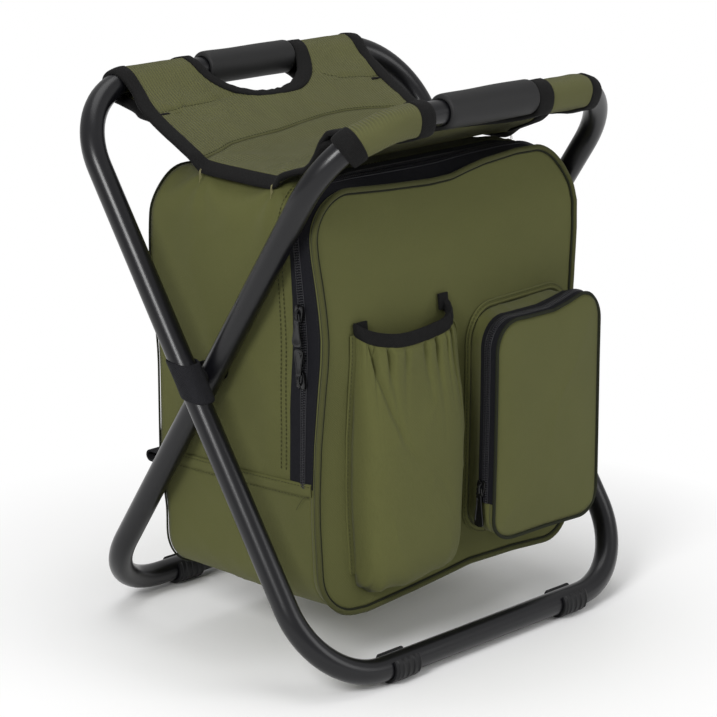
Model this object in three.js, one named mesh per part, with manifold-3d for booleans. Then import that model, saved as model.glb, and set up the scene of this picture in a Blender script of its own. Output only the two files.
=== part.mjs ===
// Folding cooler stool: two crossed tube loops, a sling seat and a soft cooler bag.
// Millimetres, +Z up, pockets towards -Y, origin on the floor midway between the pivots.
import * as THREE from 'three';
import { mergeVertices } from 'three/addons/utils/BufferGeometryUtils.js';
import Module from 'manifold-3d';

const wasm = await Module();
wasm.setup();

// Frame
const tubeDiameter = 19;
const tubeWall = 1.2;
const legGap = 4;
const upperReach = 242;
const lowerReach = 251;
const tiltAngle = THREE.MathUtils.degToRad(33.4);
const bendRadius = 66;
const tubeSides = 18;
const boreSides = 8;

// Gaps and cuts shared by every piece
const clearance = 0.3;
const overrun = 5;

// Rivets, washers and webbing at the crossing
const rivetRadius = 3;
const rivetHeadRadius = 6;
const rivetHeadHeight = 2.4;
const spacerRadius = 6.5;
const collarLength = 32;
const webbingThickness = 1.6;
const tieWidth = 12;
const tieOverlap = 1.5;
const tiePatch = 16;

// Grips
const gripWall = 4;
const gripNeckGap = 20;
const rearGripShift = 10;
const frontGripShift = -1;
const gripEdge = 1.5;

// Feet
const footWall = 3;
const footLength = 30;
const footOpeningAngle = THREE.MathUtils.degToRad(100);
const footSoleWidth = 15;
const footRibHeight = 0.9;
const footRibWidth = 2.4;
const footRibCount = 4;
const footSteps = 11;
const outerFootGap = 1;
const innerFootGap = 11;

// Bag
const bagHalfWidth = 140.5;
const bagLegGap = 6;
const bagLow = 50;
const bagHang = 52.08;
const bagFront = -104;
const bagRear = 84;
const bagTopRadius = 36;
const bagBottomRadius = 32;
const clothWall = 1.6;
const foamWall = 5;
const foilWall = 0.8;
const cornerSteps = 7;
const middleReach = 20;
const frontLean = 12.5;
const leanDrop = 120;
const rearTuck = 8;
const tuckDrop = 72;
const tuckHeight = 90;
const topSag = 7;
const sagDrop = 75;

// Main zip and the flap that it frees
const flapFoldDrop = 94;
const zipEndRise = 102;
const frontDepth = 20;
const tapeWidth = 11.5;
const tapeThickness = 0.9;
const coilWidth = 2.4;
const coilHeight = 1.4;
const pipingRadius = 1.6;
const pipingSides = 6;

// Bottle pocket
const bottleInset = 28.5;
const bottleMiddleGap = 10;
const bottleRise = 14;
const bottleRimDrop = 7;
const bottleRimDip = 17;
const bottleDepth = 29;
const bottleSteps = 16;
const bottleRows = 10;
const bottleBottomShare = 0.2;
const bottleTopShare = 0.22;
const bottleRoundShare = 0.62;
const rimDipPower = 1.5;
const rowPower = 1.4;
const elasticHeight = 11;
const elasticThickness = 1.2;

// Zipped pocket
const pocketInset = 7.5;
const pocketMiddleGap = 14;
const pocketRise = 28;
const pocketTopDrop = 20;
const pocketDepth = 34;
const pocketTopRadius = 24;
const pocketBottomRadius = 22;
const pocketTapeWidth = 7.5;
const pocketZipInset = 9.5;
const coverFoldRise = 35;

// Zip sliders
const sliderLength = 13;
const sliderWidth = 8;
const sliderHeight = 2.6;
const sliderTaper = 2;
const bridgeHeight = 2.2;
const bridgeWidth = 2.4;
const bridgeLength = 7;
const pullThickness = 1.2;
const pullNeck = 4.4;
const pullFoot = 8.5;
const mainPullLength = 20;
const pocketPullLength = 28;
const upperSliderLift = 3;
const lowerSliderDrop = 46;
const pocketSliderLift = 11;

// Seat
const seatBendReach = 38;
const seatThickness = 2.4;
const seatRise = 40;
const seatRiseInset = 25.2;
const seatSagPower = 2.2;
const seatEdgeDroop = 3;
const seatRows = 26;
const seatColumns = 10;
const slotShift = 2;
const slotInset = 60;
const slotBorder = 6;
const slotNeckInset = 30;
const slotSides = 44;
const sleeveWebLength = 47.5;
const sleeveCloth = 1.6;
const sleeveEase = 0.8;
const sleeveStations = 8;
const sleeveSides = 14;
const bindingWidth = 10;
const bindingThickness = 1.1;

// Shoulder straps
const strapTopDrop = 32;
const strapFootRise = 128;
const strapTopPlace = 42;
const strapFootInset = 54.5;
const strapBend = 72;
const strapPadWidth = 56;
const strapPadThickness = 9;
const strapSteps = 12;
const tailWidth = 25;
const tailThickness = 1.6;
const anchorRise = 78;
const anchorInset = 18.5;
const anchorSize = 26;
const anchorThickness = 2;
const lockWidth = 34;
const lockLength = 26;
const lockThickness = 5;
const lockBar = 4;
const lockGap = 4;

// Worked out from the sizes above
const tubeRadius = tubeDiameter / 2;
const innerSpan = 2 * (bagHalfWidth + bagLegGap + tubeRadius);
const outerSpan = innerSpan + 2 * (tubeDiameter + legGap);
const tieReach = bagLegGap + tubeDiameter + legGap + tieOverlap;
const barHeight = tubeRadius + footWall;
const pivotHeight = lowerReach * Math.cos(tiltAngle) + barHeight;
const barPlace = upperReach * Math.sin(tiltAngle);
const barTopHeight = pivotHeight + upperReach * Math.cos(tiltAngle);
const outerStraight = outerSpan / 2 - bendRadius;
const innerStraight = innerSpan / 2 - bendRadius;
const seatHalfWidth = innerStraight + seatBendReach;
const seatRiseReach = barPlace - seatRiseInset;
const slotHalfWidth = seatHalfWidth - slotInset;
const slotReach = sleeveWebLength - slotBorder;
const slotNeck = slotHalfWidth - slotNeckInset;
const gripRadius = tubeRadius + gripWall;
const gripLength = 2 * (slotHalfWidth - gripNeckGap);
const outerFootPlace = outerStraight - outerFootGap - footLength / 2;
const innerFootPlace = innerStraight - innerFootGap - footLength / 2;
const bagHigh = barTopHeight - bagHang;
const flapFoldHeight = bagHigh - flapFoldDrop;
const zipEndHeight = bagLow + zipEndRise;
const zipPlane = bagFront + frontDepth;
const bottleEdge = bagHalfWidth - bottleInset;
const bottleCentre = -(bottleEdge + bottleMiddleGap) / 2;
const bottleHalfWidth = (bottleEdge - bottleMiddleGap) / 2;
const bottleLow = bagLow + bottleRise;
const bottleRimHigh = flapFoldHeight - bottleRimDrop;
const pocketEdge = bagHalfWidth - pocketInset;
const pocketCentre = (pocketEdge + pocketMiddleGap) / 2;
const pocketHalfWidth = (pocketEdge - pocketMiddleGap) / 2;
const pocketLow = bagLow + pocketRise;
const pocketHigh = flapFoldHeight - pocketTopDrop;
const coverFoldHeight = pocketLow + coverFoldRise;
const upperSliderHeight = flapFoldHeight + upperSliderLift;
const lowerSliderHeight = flapFoldHeight - lowerSliderDrop;
const pocketSliderHeight = coverFoldHeight + pocketSliderLift;
const strapTopHeight = bagHigh - strapTopDrop;
const strapFootHeight = bagLow + strapFootRise;
const strapFootPlace = bagHalfWidth - strapFootInset;
const anchorHeight = bagLow + anchorRise;
const anchorPlace = bagHalfWidth - anchorInset;
const bagOutline = {
  centre: 0,
  halfWidth: bagHalfWidth,
  low: bagLow,
  high: bagHigh,
  topRadius: bagTopRadius,
  bottomRadius: bagBottomRadius,
  levels: [bagHigh - tuckDrop - tuckHeight, bagHigh - leanDrop, bagHigh - tuckDrop],
};
const pocketOutline = {
  centre: pocketCentre,
  halfWidth: pocketHalfWidth,
  low: pocketLow,
  high: pocketHigh,
  topRadius: pocketTopRadius,
  bottomRadius: pocketBottomRadius,
};
const pocketFront = bagFront - clearance - pocketDepth;
const pocketZipPlane = pocketFront + pocketZipInset;
const tapeFoot = clearance;
const tapeTop = tapeFoot + tapeThickness;
const coilTop = tapeTop + coilHeight;
const X = new THREE.Vector3(1, 0, 0);
const Y = new THREE.Vector3(0, 1, 0);
const Z = new THREE.Vector3(0, 0, 1);

// Materials
const finish = (color, roughness, metalness = 0) =>
  new THREE.MeshStandardMaterial({ color, roughness, metalness });
const paint = finish('#1b1c1f', 0.35, 0.4);
const steel = finish('#4a4b4e', 0.4, 0.9);
const foam = finish('#2b2c2e', 0.85);
const rubber = finish('#141517', 0.7);
const olive = finish('#585c33', 0.9);
const webbing = finish('#1d1d20', 0.85);
const tape = finish('#202024', 0.8);
const zipMetal = finish('#121214', 0.3, 0.6);
const whiteFoam = finish('#d8d8d2', 0.9);
const foil = finish('#b9bdc0', 0.35, 0.5);

const stool = new THREE.Group();

function add(name, geometry, material, parent = stool) {
  const mesh = new THREE.Mesh(geometry, material);
  mesh.name = name;
  parent.add(mesh);
  return mesh;
}

// Closed bodies from points and faces, turned so that their faces point out.
function bodyOf(points, faces) {
  let volume = 0;
  for (const [a, b, c] of faces) {
    volume += points[a].dot(new THREE.Vector3().crossVectors(points[b], points[c]));
  }
  const outward = volume < 0 ? faces.map(([a, b, c]) => [a, c, b]) : faces;
  const geometry = new THREE.BufferGeometry().setFromPoints(points);
  geometry.setIndex(outward.flat());
  geometry.computeVertexNormals();
  return geometry;
}

// Skins a row of rings that have the same number of points.
function loft(rings, closed = false, capped = capFaces) {
  const count = rings[0].length;
  const faces = [];
  const spans = closed ? rings.length : rings.length - 1;
  for (let i = 0; i < spans; i++) {
    const here = i * count;
    const next = ((i + 1) % rings.length) * count;
    for (let j = 0; j < count; j++) {
      const k = (j + 1) % count;
      faces.push([here + j, here + k, next + k], [here + j, next + k, next + j]);
    }
  }
  if (!closed) {
    const last = (rings.length - 1) * count;
    for (const [a, b, c] of capped(rings[0])) faces.push([c, b, a]);
    for (const [a, b, c] of capped(rings.at(-1))) faces.push([a + last, b + last, c + last]);
  }
  return bodyOf(rings.flat(), faces);
}

// Triangles across one ring, all turning the same way as the ring.
function capFaces(ring) {
  const normal = new THREE.Vector3();
  for (let i = 0; i < ring.length; i++) {
    normal.add(new THREE.Vector3().crossVectors(ring[i], ring[(i + 1) % ring.length]));
  }
  const aside = Math.abs(normal.x) > Math.abs(normal.z) ? Z : X;
  const u = new THREE.Vector3().crossVectors(normal, aside).normalize();
  const v = new THREE.Vector3().crossVectors(normal, u).normalize();
  const flat = ring.map((p) => new THREE.Vector2(p.dot(u), p.dot(v)));
  const way = Math.sign(THREE.ShapeUtils.area(flat));
  return THREE.ShapeUtils.triangulateShape(flat, []).map(([a, b, c]) =>
    (Math.sign(THREE.ShapeUtils.area([flat[a], flat[b], flat[c]])) === way ? [a, b, c] : [a, c, b]));
}

// Triangles in level rows across a ring whose second half mirrors its first.
function rowFaces(ring) {
  const faces = [];
  const last = ring.length - 1;
  for (let i = 0; i < last - 1 - i; i++) {
    faces.push([i, i + 1, last - 1 - i], [i, last - 1 - i, last - i]);
  }
  return faces;
}

// Places a section polygon at each station; a station has a place and two directions.
function ringsOn(section, stations) {
  return stations.map(({ at, across, out }) =>
    section.map(([a, b]) => at.clone().addScaledVector(across, a).addScaledVector(out, b)));
}

function sweep(section, stations, closed = false) {
  return loft(ringsOn(section, stations), closed);
}

function circle(radius, sides) {
  return Array.from({ length: sides }, (_, i) => {
    const angle = (2 * Math.PI * i) / sides;
    return [radius * Math.cos(angle), radius * Math.sin(angle)];
  });
}

function solidOf(geometry) {
  const bare = geometry.clone();
  bare.deleteAttribute('normal');
  bare.deleteAttribute('uv');
  const merged = mergeVertices(bare);
  return new wasm.Manifold(new wasm.Mesh({
    numProp: 3,
    vertProperties: Float32Array.from(merged.attributes.position.array),
    triVerts: Uint32Array.from(merged.index.array),
  }));
}

function geometryOf(solid) {
  const { vertProperties, triVerts } = solid.getMesh();
  const geometry = new THREE.BufferGeometry();
  geometry.setAttribute('position', new THREE.BufferAttribute(vertProperties, 3));
  geometry.setIndex(new THREE.BufferAttribute(triVerts, 1));
  geometry.computeVertexNormals();
  return geometry;
}

// A block between two corners.
function block(low, high) {
  const [x0, y0, z0] = low;
  const [x1, y1, z1] = high;
  const geometry = new THREE.BoxGeometry(x1 - x0, y1 - y0, z1 - z0);
  return geometry.translate((x0 + x1) / 2, (y0 + y1) / 2, (z0 + z1) / 2);
}

// A rod along X between two ends.
function rod(radius, from, to, sides) {
  const geometry = new THREE.CylinderGeometry(radius, radius, Math.abs(to - from), sides);
  return geometry.rotateZ(Math.PI / 2).translate((from + to) / 2, 0, 0);
}

// A turned piece about the X axis from a profile of [place along X, radius].
function turned(profile, sides) {
  const points = profile.map(([along, radius]) => new THREE.Vector2(radius, along));
  return new THREE.LatheGeometry(points, sides).rotateZ(-Math.PI / 2);
}

// Rounded rectangles in X and Z, as points with their outward direction.
function arc(cx, cz, radius, from, to) {
  return Array.from({ length: cornerSteps + 1 }, (_, i) => {
    const angle = from + ((to - from) * i) / cornerSteps;
    const nx = Math.cos(angle);
    const nz = Math.sin(angle);
    return { x: cx + radius * nx, z: cz + radius * nz, nx, nz };
  });
}

function overTop({ centre, halfWidth, high, topRadius }) {
  const reach = halfWidth - topRadius;
  return [
    ...arc(centre - reach, high - topRadius, topRadius, Math.PI, Math.PI / 2),
    ...arc(centre + reach, high - topRadius, topRadius, Math.PI / 2, 0),
  ];
}

function underBottom({ centre, halfWidth, low, bottomRadius }) {
  const reach = halfWidth - bottomRadius;
  return [
    ...arc(centre + reach, low + bottomRadius, bottomRadius, 0, -Math.PI / 2),
    ...arc(centre - reach, low + bottomRadius, bottomRadius, -Math.PI / 2, -Math.PI),
  ];
}

// Points up one side of an outline at given heights.
function sideOf({ centre, halfWidth }, sign, heights) {
  return heights.map((z) => ({ x: centre + sign * halfWidth, z, nx: sign, nz: 0 }));
}

// The stretch of an outline above or below a height, from one side to the other.
function arch(outline, height) {
  const heights = [height, ...(outline.levels ?? []).filter((z) => z > height)];
  const left = sideOf(outline, -1, heights);
  return [...left, ...overTop(outline), ...sideOf(outline, 1, heights.toReversed())];
}

function cradle(outline, height) {
  const heights = [...(outline.levels ?? []).filter((z) => z < height), height];
  const right = sideOf(outline, 1, heights.toReversed());
  return [...right, ...underBottom(outline), ...sideOf(outline, -1, heights)];
}

// A whole outline, from the middle of its top down the right side and up the left.
function ringOf(outline) {
  const heights = outline.levels ?? [];
  const top = overTop(outline);
  return [
    ...top.slice(top.length / 2),
    ...sideOf(outline, 1, heights.toReversed()),
    ...underBottom(outline),
    ...sideOf(outline, -1, heights),
    ...top.slice(0, top.length / 2),
  ];
}

function stationsOn(path, y) {
  return path.map(({ x, z, nx, nz }) => ({
    at: new THREE.Vector3(x, y, z),
    across: Y,
    out: new THREE.Vector3(nx, 0, nz),
  }));
}

// An outline, moved outwards by an offset, as a slab between two places along Y.
function slab(outline, offset, from, to) {
  const shape = new THREE.Shape(
    ringOf(outline).map(({ x, z, nx, nz }) => new THREE.Vector2(x + nx * offset, z + nz * offset)),
  );
  const geometry = new THREE.ExtrudeGeometry(shape, { depth: to - from, bevelEnabled: false });
  return solidOf(geometry.rotateX(Math.PI / 2).translate(0, to, 0));
}

// How the filled bag settles: its front leans back above the pockets, its rear wall tucks in low
// down, and its top sags towards both edges.
const portion = (value) => THREE.MathUtils.clamp(value, 0, 1);

function settle({ x, y, z }) {
  const front = portion((-y - middleReach) / (-bagFront - middleReach));
  const rear = portion((y - middleReach) / (bagRear - middleReach));
  const lean = frontLean * portion((z - bagHigh + leanDrop) / leanDrop) * front;
  const tuck = rearTuck * portion((bagHigh - tuckDrop - z) / tuckHeight) * rear;
  const sagging = topSag * portion((z - bagHigh + sagDrop) / sagDrop) * (front + rear);
  return new THREE.Vector3(x, y + lean - tuck, z - sagging);
}

function settledSweep(section, stations, closed = false) {
  return loft(ringsOn(section, stations).map((ring) => ring.map(settle)), closed);
}

// The settled bag's outline, moved outwards by an offset, as a body between two places along Y.
function bagBody(offset, from, to) {
  const places = [from, ...[-middleReach, middleReach].filter((y) => y > from && y < to), to];
  const rings = places.map((y) => ringOf(bagOutline)
    .map(({ x, z, nx, nz }) => settle({ x: x + nx * offset, y, z: z + nz * offset })));
  return solidOf(loft(rings, false, rowFaces));
}

// Frame loops. Each lies flat in its group's XZ plane, with the pivots at the origin.
function loopStations(span) {
  const half = span / 2;
  return ringOf({
    centre: 0,
    halfWidth: half,
    low: -lowerReach,
    high: upperReach,
    topRadius: bendRadius,
    bottomRadius: bendRadius,
  }).map(({ x, z, nx, nz }) => ({
    at: new THREE.Vector3(x, 0, z),
    across: Y,
    out: new THREE.Vector3(nx, 0, nz),
  }));
}

function frameLoop(name, span, group) {
  const stations = loopStations(span);
  const outside = solidOf(sweep(circle(tubeRadius, tubeSides), stations, true));
  const bore = solidOf(sweep(circle(tubeRadius - tubeWall, boreSides), stations, true));
  const reach = span / 2 + tubeRadius + overrun;
  const rivetHole = solidOf(rod(rivetRadius + clearance, -reach, reach, tubeSides));
  add(name, geometryOf(outside.subtract(bore).subtract(rivetHole)), paint, group);
}

function grip(name, shift, group) {
  const half = gripLength / 2;
  const bore = tubeRadius + clearance;
  const profile = [
    [-half, bore],
    [-half, gripRadius - gripEdge],
    [gripEdge - half, gripRadius],
    [half - gripEdge, gripRadius],
    [half, gripRadius - gripEdge],
    [half, bore],
    [-half, bore],
  ];
  add(name, turned(profile, tubeSides), foam, group).position.set(shift, 0, upperReach);
}

// A clip that snaps over the bar from below, flat underneath and ribbed at both sides.
function foot(name, place, group, tilt) {
  const inner = tubeRadius + clearance;
  const outer = barHeight;
  const lip = footOpeningAngle / 2;
  const sole = Math.asin(footSoleWidth / 2 / outer);
  const section = [];
  const start = Math.PI / 2 + lip;
  const end = 2.5 * Math.PI - lip;
  for (let i = 0; i <= footSteps; i++) {
    const angle = start + ((end - start) * i) / footSteps;
    section.push([outer * Math.cos(angle), Math.max(outer * Math.sin(angle), -outer)]);
  }
  for (let i = footSteps; i >= 0; i--) {
    const angle = start + ((end - start) * i) / footSteps;
    section.push([inner * Math.cos(angle), inner * Math.sin(angle)]);
  }
  const ends = [-footLength / 2, footLength / 2].map((x) => ({
    at: new THREE.Vector3(x, 0, 0),
    across: Y,
    out: Z,
  }));
  let clip = solidOf(sweep(section, ends));
  const halfSole = outer * Math.sin(sole);
  const soleBlock = block(
    [-footLength / 2, -halfSole, -outer],
    [footLength / 2, halfSole, -inner * Math.cos(sole) - clearance],
  );
  const bore = rod(inner, -footLength, footLength, tubeSides);
  clip = clip.add(solidOf(soleBlock).subtract(solidOf(bore)));
  const pitch = footLength / footRibCount;
  for (let i = 0; i < footRibCount; i++) {
    const middle = (i + 0.5) * pitch - footLength / 2;
    const ribEnds = [middle - footRibWidth / 2, middle + footRibWidth / 2];
    const rib = solidOf(rod(outer + footRibHeight, ...ribEnds, tubeSides))
      .subtract(solidOf(rod(outer - clearance, -footLength, footLength, tubeSides)))
      .subtract(solidOf(block([-footLength, -outer * 2, outer / 2], [footLength, outer * 2, outer * 2])))
      .subtract(solidOf(block([-footLength, -outer * 2, -outer * 2], [footLength, outer * 2, -outer / 2])));
    clip = clip.add(rib);
  }
  const mesh = add(name, geometryOf(clip), rubber, group);
  mesh.position.set(place, 0, -lowerReach);
  mesh.rotation.x = -tilt;
}

function buildFrame() {
  const outer = new THREE.Group();
  const inner = new THREE.Group();
  outer.position.set(0, 0, pivotHeight);
  outer.rotation.x = -tiltAngle;
  inner.position.set(0, 0, pivotHeight);
  inner.rotation.x = tiltAngle;
  stool.add(outer, inner);
  frameLoop('outer_loop_tube', outerSpan, outer);
  frameLoop('inner_loop_tube', innerSpan, inner);
  grip('rear_grip', rearGripShift, outer);
  grip('front_grip', frontGripShift, inner);
  foot('outer_foot_left', -outerFootPlace, outer, -tiltAngle);
  foot('outer_foot_right', outerFootPlace, outer, -tiltAngle);
  foot('inner_foot_left', -innerFootPlace, inner, tiltAngle);
  foot('inner_foot_right', innerFootPlace, inner, tiltAngle);
  for (const [side, sign] of [['left', -1], ['right', 1]]) {
    add(`pivot_collar_${side}`, collar(sign), webbing, outer);
    buildPivot(side, sign);
  }
}

// The webbing collar round the outer leg, open where the washer passes.
function collar(sign) {
  const inner = tubeRadius + clearance;
  const outer = inner + webbingThickness;
  const half = collarLength / 2;
  const profile = [[-half, inner], [-half, outer], [half, outer], [half, inner], [-half, inner]];
  const ring = solidOf(turned(profile, tubeSides).rotateY(Math.PI / 2));
  const reach = sign * (inner + overrun);
  const hole = solidOf(rod(spacerRadius + clearance, 0, -reach, tubeSides));
  return geometryOf(ring.subtract(hole)).translate((sign * outerSpan) / 2, 0, 0);
}

// The rivet through both legs, with a head on the bag side, and the washer between the legs.
function buildPivot(side, sign) {
  const insideWall = Math.sqrt(tubeRadius ** 2 - rivetRadius ** 2) - clearance;
  const outerEnd = sign * (outerSpan / 2 + insideWall);
  const headSeat = sign * (innerSpan / 2 - tubeRadius - clearance);
  const headEnd = headSeat - sign * rivetHeadHeight;
  const shaft = [[outerEnd, 0], [outerEnd, rivetRadius], [headSeat, rivetRadius]];
  const head = [
    [headSeat, rivetHeadRadius],
    [(headSeat + headEnd) / 2, rivetHeadRadius],
    [headEnd, rivetHeadRadius / 2],
    [headEnd, 0],
  ];
  const rivet = turnedBody([...shaft, ...head], tubeSides);
  add(`pivot_rivet_${side}`, rivet, steel).position.set(0, 0, pivotHeight);
  const near = sign * (innerSpan / 2 + tubeRadius + clearance);
  const far = sign * (outerSpan / 2 - tubeRadius - clearance);
  const bore = rivetRadius + clearance;
  const washer = [[near, bore], [near, spacerRadius], [far, spacerRadius], [far, bore], [near, bore]];
  add(`pivot_washer_${side}`, turnedBody(washer, tubeSides), rubber).position.set(0, 0, pivotHeight);
}

// A turned body whose faces point out whichever way its profile runs.
function turnedBody(profile, sides) {
  const along = profile.map(([x]) => x);
  const rising = along.at(-1) !== along[0] ? along.at(-1) > along[0] : along[2] > along[0];
  return turned(rising ? profile : [...profile].reverse(), sides);
}

// Bag walls: cloth outside, foam, then foil. The flap takes the front above the fold.
function flapRegion(gap) {
  const wide = bagHalfWidth + overrun * 2;
  const low = flapFoldHeight + gap;
  const high = bagHigh + overrun;
  const rings = [-wide, wide].map((x) => [
    new THREE.Vector3(x, bagFront - overrun, low),
    ...[low, bagHigh - sagDrop, bagHigh, high].map((z) => settle({ x, y: zipPlane - gap, z })),
    new THREE.Vector3(x, bagFront - overrun, high),
  ]);
  return solidOf(loft(rings));
}

function shellOf(offset, wall, front, rear) {
  return bagBody(offset, front, rear).subtract(bagBody(offset - wall, front + wall, rear - wall));
}

function buildBag() {
  const cut = flapRegion(-clearance);
  const keep = flapRegion(clearance);
  const layers = [
    ['shell', 0, clothWall, olive],
    ['insulation', clothWall + clearance, foamWall, whiteFoam],
    ['liner', clothWall + foamWall + 2 * clearance, foilWall, foil],
  ];
  for (const [name, depth, wall, material] of layers) {
    const layer = shellOf(-depth, wall, bagFront + depth, bagRear - depth);
    add(`bag_${name}`, geometryOf(layer.subtract(cut)), material);
    if (depth === 0) {
      add('flap_panel', geometryOf(layer.intersect(keep)), material);
    } else {
      const front = bagFront + depth;
      const plate = bagBody(-depth, front, front + wall).intersect(keep);
      add(`flap_${name}`, geometryOf(plate), material);
    }
  }
  buildPiping();
  buildMainZip();
}

function buildPiping() {
  const section = circle(pipingRadius, pipingSides);
  const lift = pipingRadius * Math.SQRT1_2 + clearance;
  const bead = (path, y, closed) => {
    const stations = stationsOn(path, y)
      .map((s) => ({ ...s, at: s.at.clone().addScaledVector(s.out, lift) }));
    return settledSweep(section, stations, closed);
  };
  const frontPlace = bagFront - lift;
  const rearPlace = bagRear + lift;
  add('flap_piping', bead(arch(bagOutline, flapFoldHeight + clearance), frontPlace), webbing);
  add('front_piping', bead(cradle(bagOutline, flapFoldHeight - clearance), frontPlace), webbing);
  add('rear_piping', bead(ringOf(bagOutline), rearPlace, true), webbing);
}

// Half a zip: a flat tape with the coil along its meeting edge, which is at zero.
function zipHalf(width, direction) {
  const near = direction * clearance;
  const coil = near + direction * coilWidth;
  const far = near + direction * width;
  return [
    [near, tapeFoot], [near, coilTop], [coil, coilTop],
    [coil, tapeTop], [far, tapeTop], [far, tapeFoot],
  ];
}

function buildMainZip() {
  const rear = stationsOn(arch(bagOutline, zipEndHeight), zipPlane);
  const front = stationsOn(arch(bagOutline, flapFoldHeight + clearance), zipPlane);
  add('main_zip_rear_half', settledSweep(zipHalf(tapeWidth, 1), rear), tape);
  add('main_zip_flap_half', settledSweep(zipHalf(tapeWidth, -1), front), tape);
  for (const [side, sign] of [['left', -1], ['right', 1]]) {
    const heights = [zipEndHeight, bagHigh - leanDrop, flapFoldHeight - clearance];
    const stations = stationsOn(sideOf(bagOutline, sign, heights), zipPlane);
    add(`main_zip_lower_${side}`, settledSweep(zipHalf(tapeWidth, -1), stations), tape);
  }
}

// Bottle pocket: one cloth wall that bulges, narrows to the panel below and hangs from its rim.
function bottleRow(height) {
  const tall = bottleRimHigh - bottleLow;
  const share = Math.min(Math.max((height - bottleLow) / tall, 0), 1);
  const belly = Math.min(1, Math.sqrt(share / bottleBottomShare));
  return 1 - (1 - belly) ** 2 - bottleTopShare * share ** 2;
}

function bottleRim(turn) {
  return bottleRimHigh - bottleRimDip * Math.sin(turn) ** rimDipPower;
}

function bottlePoint(turn, share, skin) {
  const height = bottleLow + share * (bottleRim(turn) - bottleLow);
  const bulge = bottleRow(height);
  const half = bottleHalfWidth - clothWall + skin;
  const deep = (bottleDepth - clothWall) * bulge + skin;
  const side = -Math.sign(Math.cos(turn)) * Math.abs(Math.cos(turn)) ** bottleRoundShare;
  const drop = skin * Math.max(0, 1 - share / bottleBottomShare);
  return new THREE.Vector3(
    bottleCentre + half * side,
    bagFront - clearance - deep * Math.sin(turn) ** bottleRoundShare,
    height - drop,
  );
}

function buildBottlePocket() {
  const rings = [];
  for (let i = 0; i <= bottleSteps; i++) {
    const turn = Math.min((Math.PI * i) / bottleSteps, Math.PI);
    const outside = [];
    const inside = [];
    for (let j = 0; j <= bottleRows; j++) {
      const share = (j / bottleRows) ** rowPower;
      outside.push(bottlePoint(turn, share, clothWall));
      inside.push(bottlePoint(turn, share, 0));
    }
    rings.push([...outside, ...inside.reverse()]);
  }
  add('bottle_pocket', loft(rings), olive);
  const band = rings.map((_, i) => {
    const turn = (Math.PI * i) / bottleSteps;
    const low = 1 - elasticHeight / (bottleRim(turn) - bottleLow);
    const near = clothWall + clearance;
    const far = near + elasticThickness;
    return [[low, near], [low, far], [1, far], [1, near]]
      .map(([share, skin]) => bottlePoint(turn, share, skin));
  });
  add('bottle_pocket_elastic', loft(band), webbing);
}

// Zipped pocket: a boxy gusset with a cover that folds down above the zip's ends.
function buildZipPocket() {
  const back = bagFront - clearance;
  const outside = slab(pocketOutline, 0, pocketFront, back);
  const hollow = slab(pocketOutline, -clothWall, pocketFront + clothWall, back + overrun);
  const walls = outside.subtract(hollow);
  const wide = pocketHalfWidth + overrun;
  const region = (gap) => solidOf(block(
    [pocketCentre - wide, pocketFront - overrun, coverFoldHeight + gap],
    [pocketCentre + wide, pocketZipPlane - gap, pocketHigh + overrun],
  ));
  add('pocket_body', geometryOf(walls.subtract(region(-clearance))), olive);
  add('pocket_cover', geometryOf(walls.intersect(region(clearance))), olive);
  const path = stationsOn(arch(pocketOutline, coverFoldHeight + clearance), pocketZipPlane);
  add('pocket_zip_rear_half', sweep(zipHalf(pocketTapeWidth, 1), path), tape);
  add('pocket_zip_cover_half', sweep(zipHalf(pocketTapeWidth, -1), path), tape);
  const section = circle(pipingRadius, pipingSides);
  const lift = pipingRadius * Math.SQRT1_2 + clearance;
  const bead = (way) => stationsOn(way, pocketFront - lift)
    .map((s) => ({ ...s, at: s.at.clone().addScaledVector(s.out, lift) }));
  const coverEdge = bead(arch(pocketOutline, coverFoldHeight + clearance));
  const lowerEdge = bead(cradle(pocketOutline, coverFoldHeight - clearance));
  add('pocket_cover_piping', sweep(section, coverEdge), webbing);
  add('pocket_lower_piping', sweep(section, lowerEdge), webbing);
}

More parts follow.
